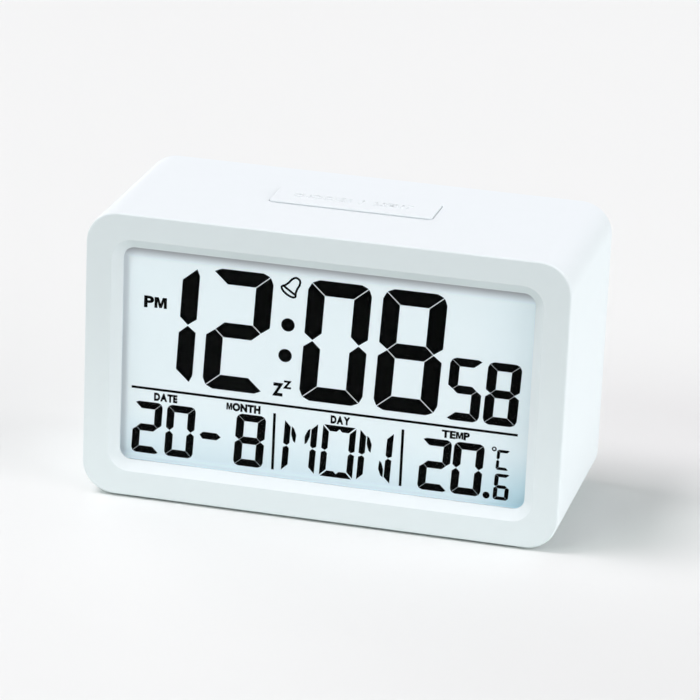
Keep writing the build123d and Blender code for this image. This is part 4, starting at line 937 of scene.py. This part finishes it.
def add_rear_legends():
    """What each key and the slider do, printed on the rear cover."""
    mesh = bmesh.new()
    for node, word in KEY_WORDS.items():
        draw_word(mesh, word, below(node), LEGEND_HEIGHT)
    for node, way in KEY_ARROWS.items():
        x, z = below(node)
        rise = way * ARROW_HALF_HEIGHT
        left = x - ARROW_HALF_WIDTH
        right = x + ARROW_HALF_WIDTH
        draw_outline(mesh, [(left, z - rise), (right, z - rise), (x, z + rise)])
    x, z = below("alarm_slider")
    for word, shift in SLIDER_WORDS.items():
        draw_word(mesh, word, (x + shift, z), LEGEND_HEIGHT)
    back = panel((0, COVER_FACE, 0), LEFTWARDS, UPWARDS)
    add_art("rear_legends", mesh, back, INK_THICKNESS, FINISHES["print_ink"], "case")


def add_snooze_lettering():
    """Low raised words on the long key, in its own plastic."""
    mesh = bmesh.new()
    for word, shift in SNOOZE_WORDS.items():
        draw_word(mesh, word, (shift, 0), SNOOZE_WORD_HEIGHT)
    middle = middle_of("snooze_bar")
    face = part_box("snooze_bar")[1].z
    top = panel((middle.x, middle.y, face), RIGHTWARDS, BACKWARDS)
    plastic = FINISHES["white_plastic"]
    add_art("snooze_lettering", mesh, top, SNOOZE_WORD_RISE, plastic, "snooze")


# Floor and world: what the eye sees is paler than what throws light back on the clock

FLOOR_SEEN = srgb(231, 233, 232)
FLOOR_BOUNCE = srgb(207, 216, 212)
FLOOR_ROUGHNESS = 0.9
FLOOR_GRAIN = 2 * MM
FLOOR_RELIEF = 0.01 * MM
FLOOR_REACH = 3.0
SKY_COLOUR = (0.97, 0.985, 1.0, 1.0)
SKY_SEEN = 0.87
SKY_LIGHT = 0.20


def seen_share(tree):
    """1 where the camera, a reflection or a clear sheet looks, 0 where light only bounces."""
    path = tree.nodes.new("ShaderNodeLightPath")
    seen = Wire(tree, path.outputs["Is Camera Ray"])
    for name in ("Is Glossy Ray", "Is Transmission Ray"):
        seen = seen.either(Wire(tree, path.outputs[name]))
    return seen


def floor_finish():
    """Matt pale paper with a trace of fibre, which throws little light back on the clock."""
    material, place = start_finish("floor_paper")
    set_surface(material, {
        "Base Color": seen_share(material.node_tree).between(FLOOR_BOUNCE, FLOOR_SEEN),
        "Roughness": FLOOR_ROUGHNESS,
        "Specular IOR Level": 0.0,
        "Normal": place.noise(FLOOR_GRAIN).bump(FLOOR_RELIEF),
    })
    return material


def add_floor():
    """The table top that the clock stands on."""
    mesh = bmesh.new()
    bmesh.ops.create_grid(mesh, x_segments=1, y_segments=1, size=FLOOR_REACH)
    data = mesh_data("floor", mesh)
    data.materials.append(floor_finish())
    floor = put_in_scene("floor", data)
    return floor


def add_world():
    """Even pale light, and a pale background where the camera or a reflection sees past the floor."""
    world = bpy.data.worlds.new("studio")
    bpy.context.scene.world = world
    world.use_nodes = True
    tree = world.node_tree
    plug(tree, tree.nodes["Background"], {
        "Color": SKY_COLOUR,
        "Strength": SKY_LIGHT + (SKY_SEEN - SKY_LIGHT) * seen_share(tree),
    })


# Lamps

# Direction that the light comes from, level on a face turned to it, softness in degrees and tint
LAMPS = {
    "key_lamp": ((-0.40, -0.70, 0.59), 0.25, 25, (0.93, 1.0, 0.97)),
    "top_lamp": ((-0.45, -0.12, 0.885), 0.61, 28, (1.0, 0.94, 0.97)),
    "side_lamp": ((0.98, -0.12, 0.15), 0.98, 60, (1.0, 0.99, 1.0)),
    "back_lamp": ((-0.70, 0.68, 0.15), 0.45, 40, (1.0, 1.0, 1.0)),
}

# Middle of each low strip and the spot that it faces, both seen from above, then its length and watts
STRIPS = {
    "front_strip": ((-10 * MM, CASE_LOW.y - 56 * MM), (-10 * MM, CASE_LOW.y), 250 * MM, 0.0103),
    "right_strip": ((CASE_HIGH.x + 62.5 * MM, -5 * MM), (CASE_HIGH.x, -5 * MM), 90 * MM, 0.0036),
}
STRIP_LEVEL = 4 * MM
STRIP_AIM_LEVEL = 6 * MM
STRIP_HEIGHT = 6 * MM
STRIP_SPREAD = radians(150)
LAMPS_WITHOUT_SHINE = ("side_lamp", "back_lamp", *STRIPS)


def add_lamp(name, lamp, towards):
    """Put a lamp in the scene, with its back turned in the given direction."""
    holder = put_in_scene(name, lamp)
    holder.rotation_euler = Vector(towards).to_track_quat("Z", "Y").to_euler()
    holder.visible_camera = False
    holder.visible_glossy = name not in LAMPS_WITHOUT_SHINE
    return holder


def keep_off(holder, thing):
    """Let a lamp light everything apart from one thing."""
    unlit = bpy.data.collections.new("unlit_by_" + holder.name)
    unlit.objects.link(thing)
    unlit.collection_objects[0].light_linking.link_state = "EXCLUDE"
    holder.light_linking.receiver_collection = unlit


def add_lamps():
    """Wide even lamps from the front, above, the right and behind."""
    for name, (towards, level, softness, tint) in LAMPS.items():
        lamp = bpy.data.lights.new(name, "SUN")
        lamp.energy = level * pi
        lamp.color = tint
        lamp.angle = radians(softness)
        add_lamp(name, lamp, towards)


def add_strips(floor):
    """Low strip lamps at the front and right, which light the clock's lower edges and not the floor."""
    for name, (place, aim, length, watts) in STRIPS.items():
        strip = bpy.data.lights.new(name, "AREA")
        strip.shape = "RECTANGLE"
        strip.size = length
        strip.size_y = STRIP_HEIGHT
        strip.energy = watts
        strip.spread = STRIP_SPREAD
        middle = Vector((*place, STRIP_LEVEL))
        holder = add_lamp(name, strip, middle - Vector((*aim, STRIP_AIM_LEVEL)))
        holder.location = middle
        keep_off(holder, floor)


# Camera

CAMERA_AZIMUTH = radians(13.486)
CAMERA_ELEVATION = radians(19.591)
CAMERA_ROLL = radians(2.388)
CAMERA_DISTANCE = 1.0761
CAMERA_TARGET = Vector((0.00074, 0.0, 0.0408))
CAMERA_LENS = 198.67
CAMERA_SENSOR = 36.0
CAMERA_NEAREST = 0.01


def add_camera():
    """The photograph's view: from the front right and a little above, with a slight roll."""
    reach = cos(CAMERA_ELEVATION)
    back = Vector((sin(CAMERA_AZIMUTH) * reach, -cos(CAMERA_AZIMUTH) * reach, sin(CAMERA_ELEVATION)))
    level_right = Vector(UPWARDS).cross(back).normalized()
    level_up = back.cross(level_right)
    right = cos(CAMERA_ROLL) * level_right + sin(CAMERA_ROLL) * level_up
    up = cos(CAMERA_ROLL) * level_up - sin(CAMERA_ROLL) * level_right
    camera = bpy.data.cameras.new("camera")
    camera.lens = CAMERA_LENS
    camera.sensor_width = CAMERA_SENSOR
    camera.clip_start = CAMERA_NEAREST
    matrix = Matrix((right, up, back)).transposed().to_4x4()
    matrix.translation = CAMERA_TARGET + CAMERA_DISTANCE * back
    holder = put_in_scene("camera", camera)
    holder.matrix_world = matrix
    bpy.context.scene.camera = holder


# Put the scene together

for name, node in frame["nodes"].items():
    node.data.materials.clear()
    node.data.materials.append(finish_of(name))
for name in SMOOTH_NODES:
    add_smooth_skin(name)
add_cover_screws()
add_readout()
add_rear_legends()
add_snooze_lettering()
floor = add_floor()
add_world()
add_lamps()
add_strips(floor)
add_camera()
bpy.context.scene.view_settings.view_transform = "Standard"
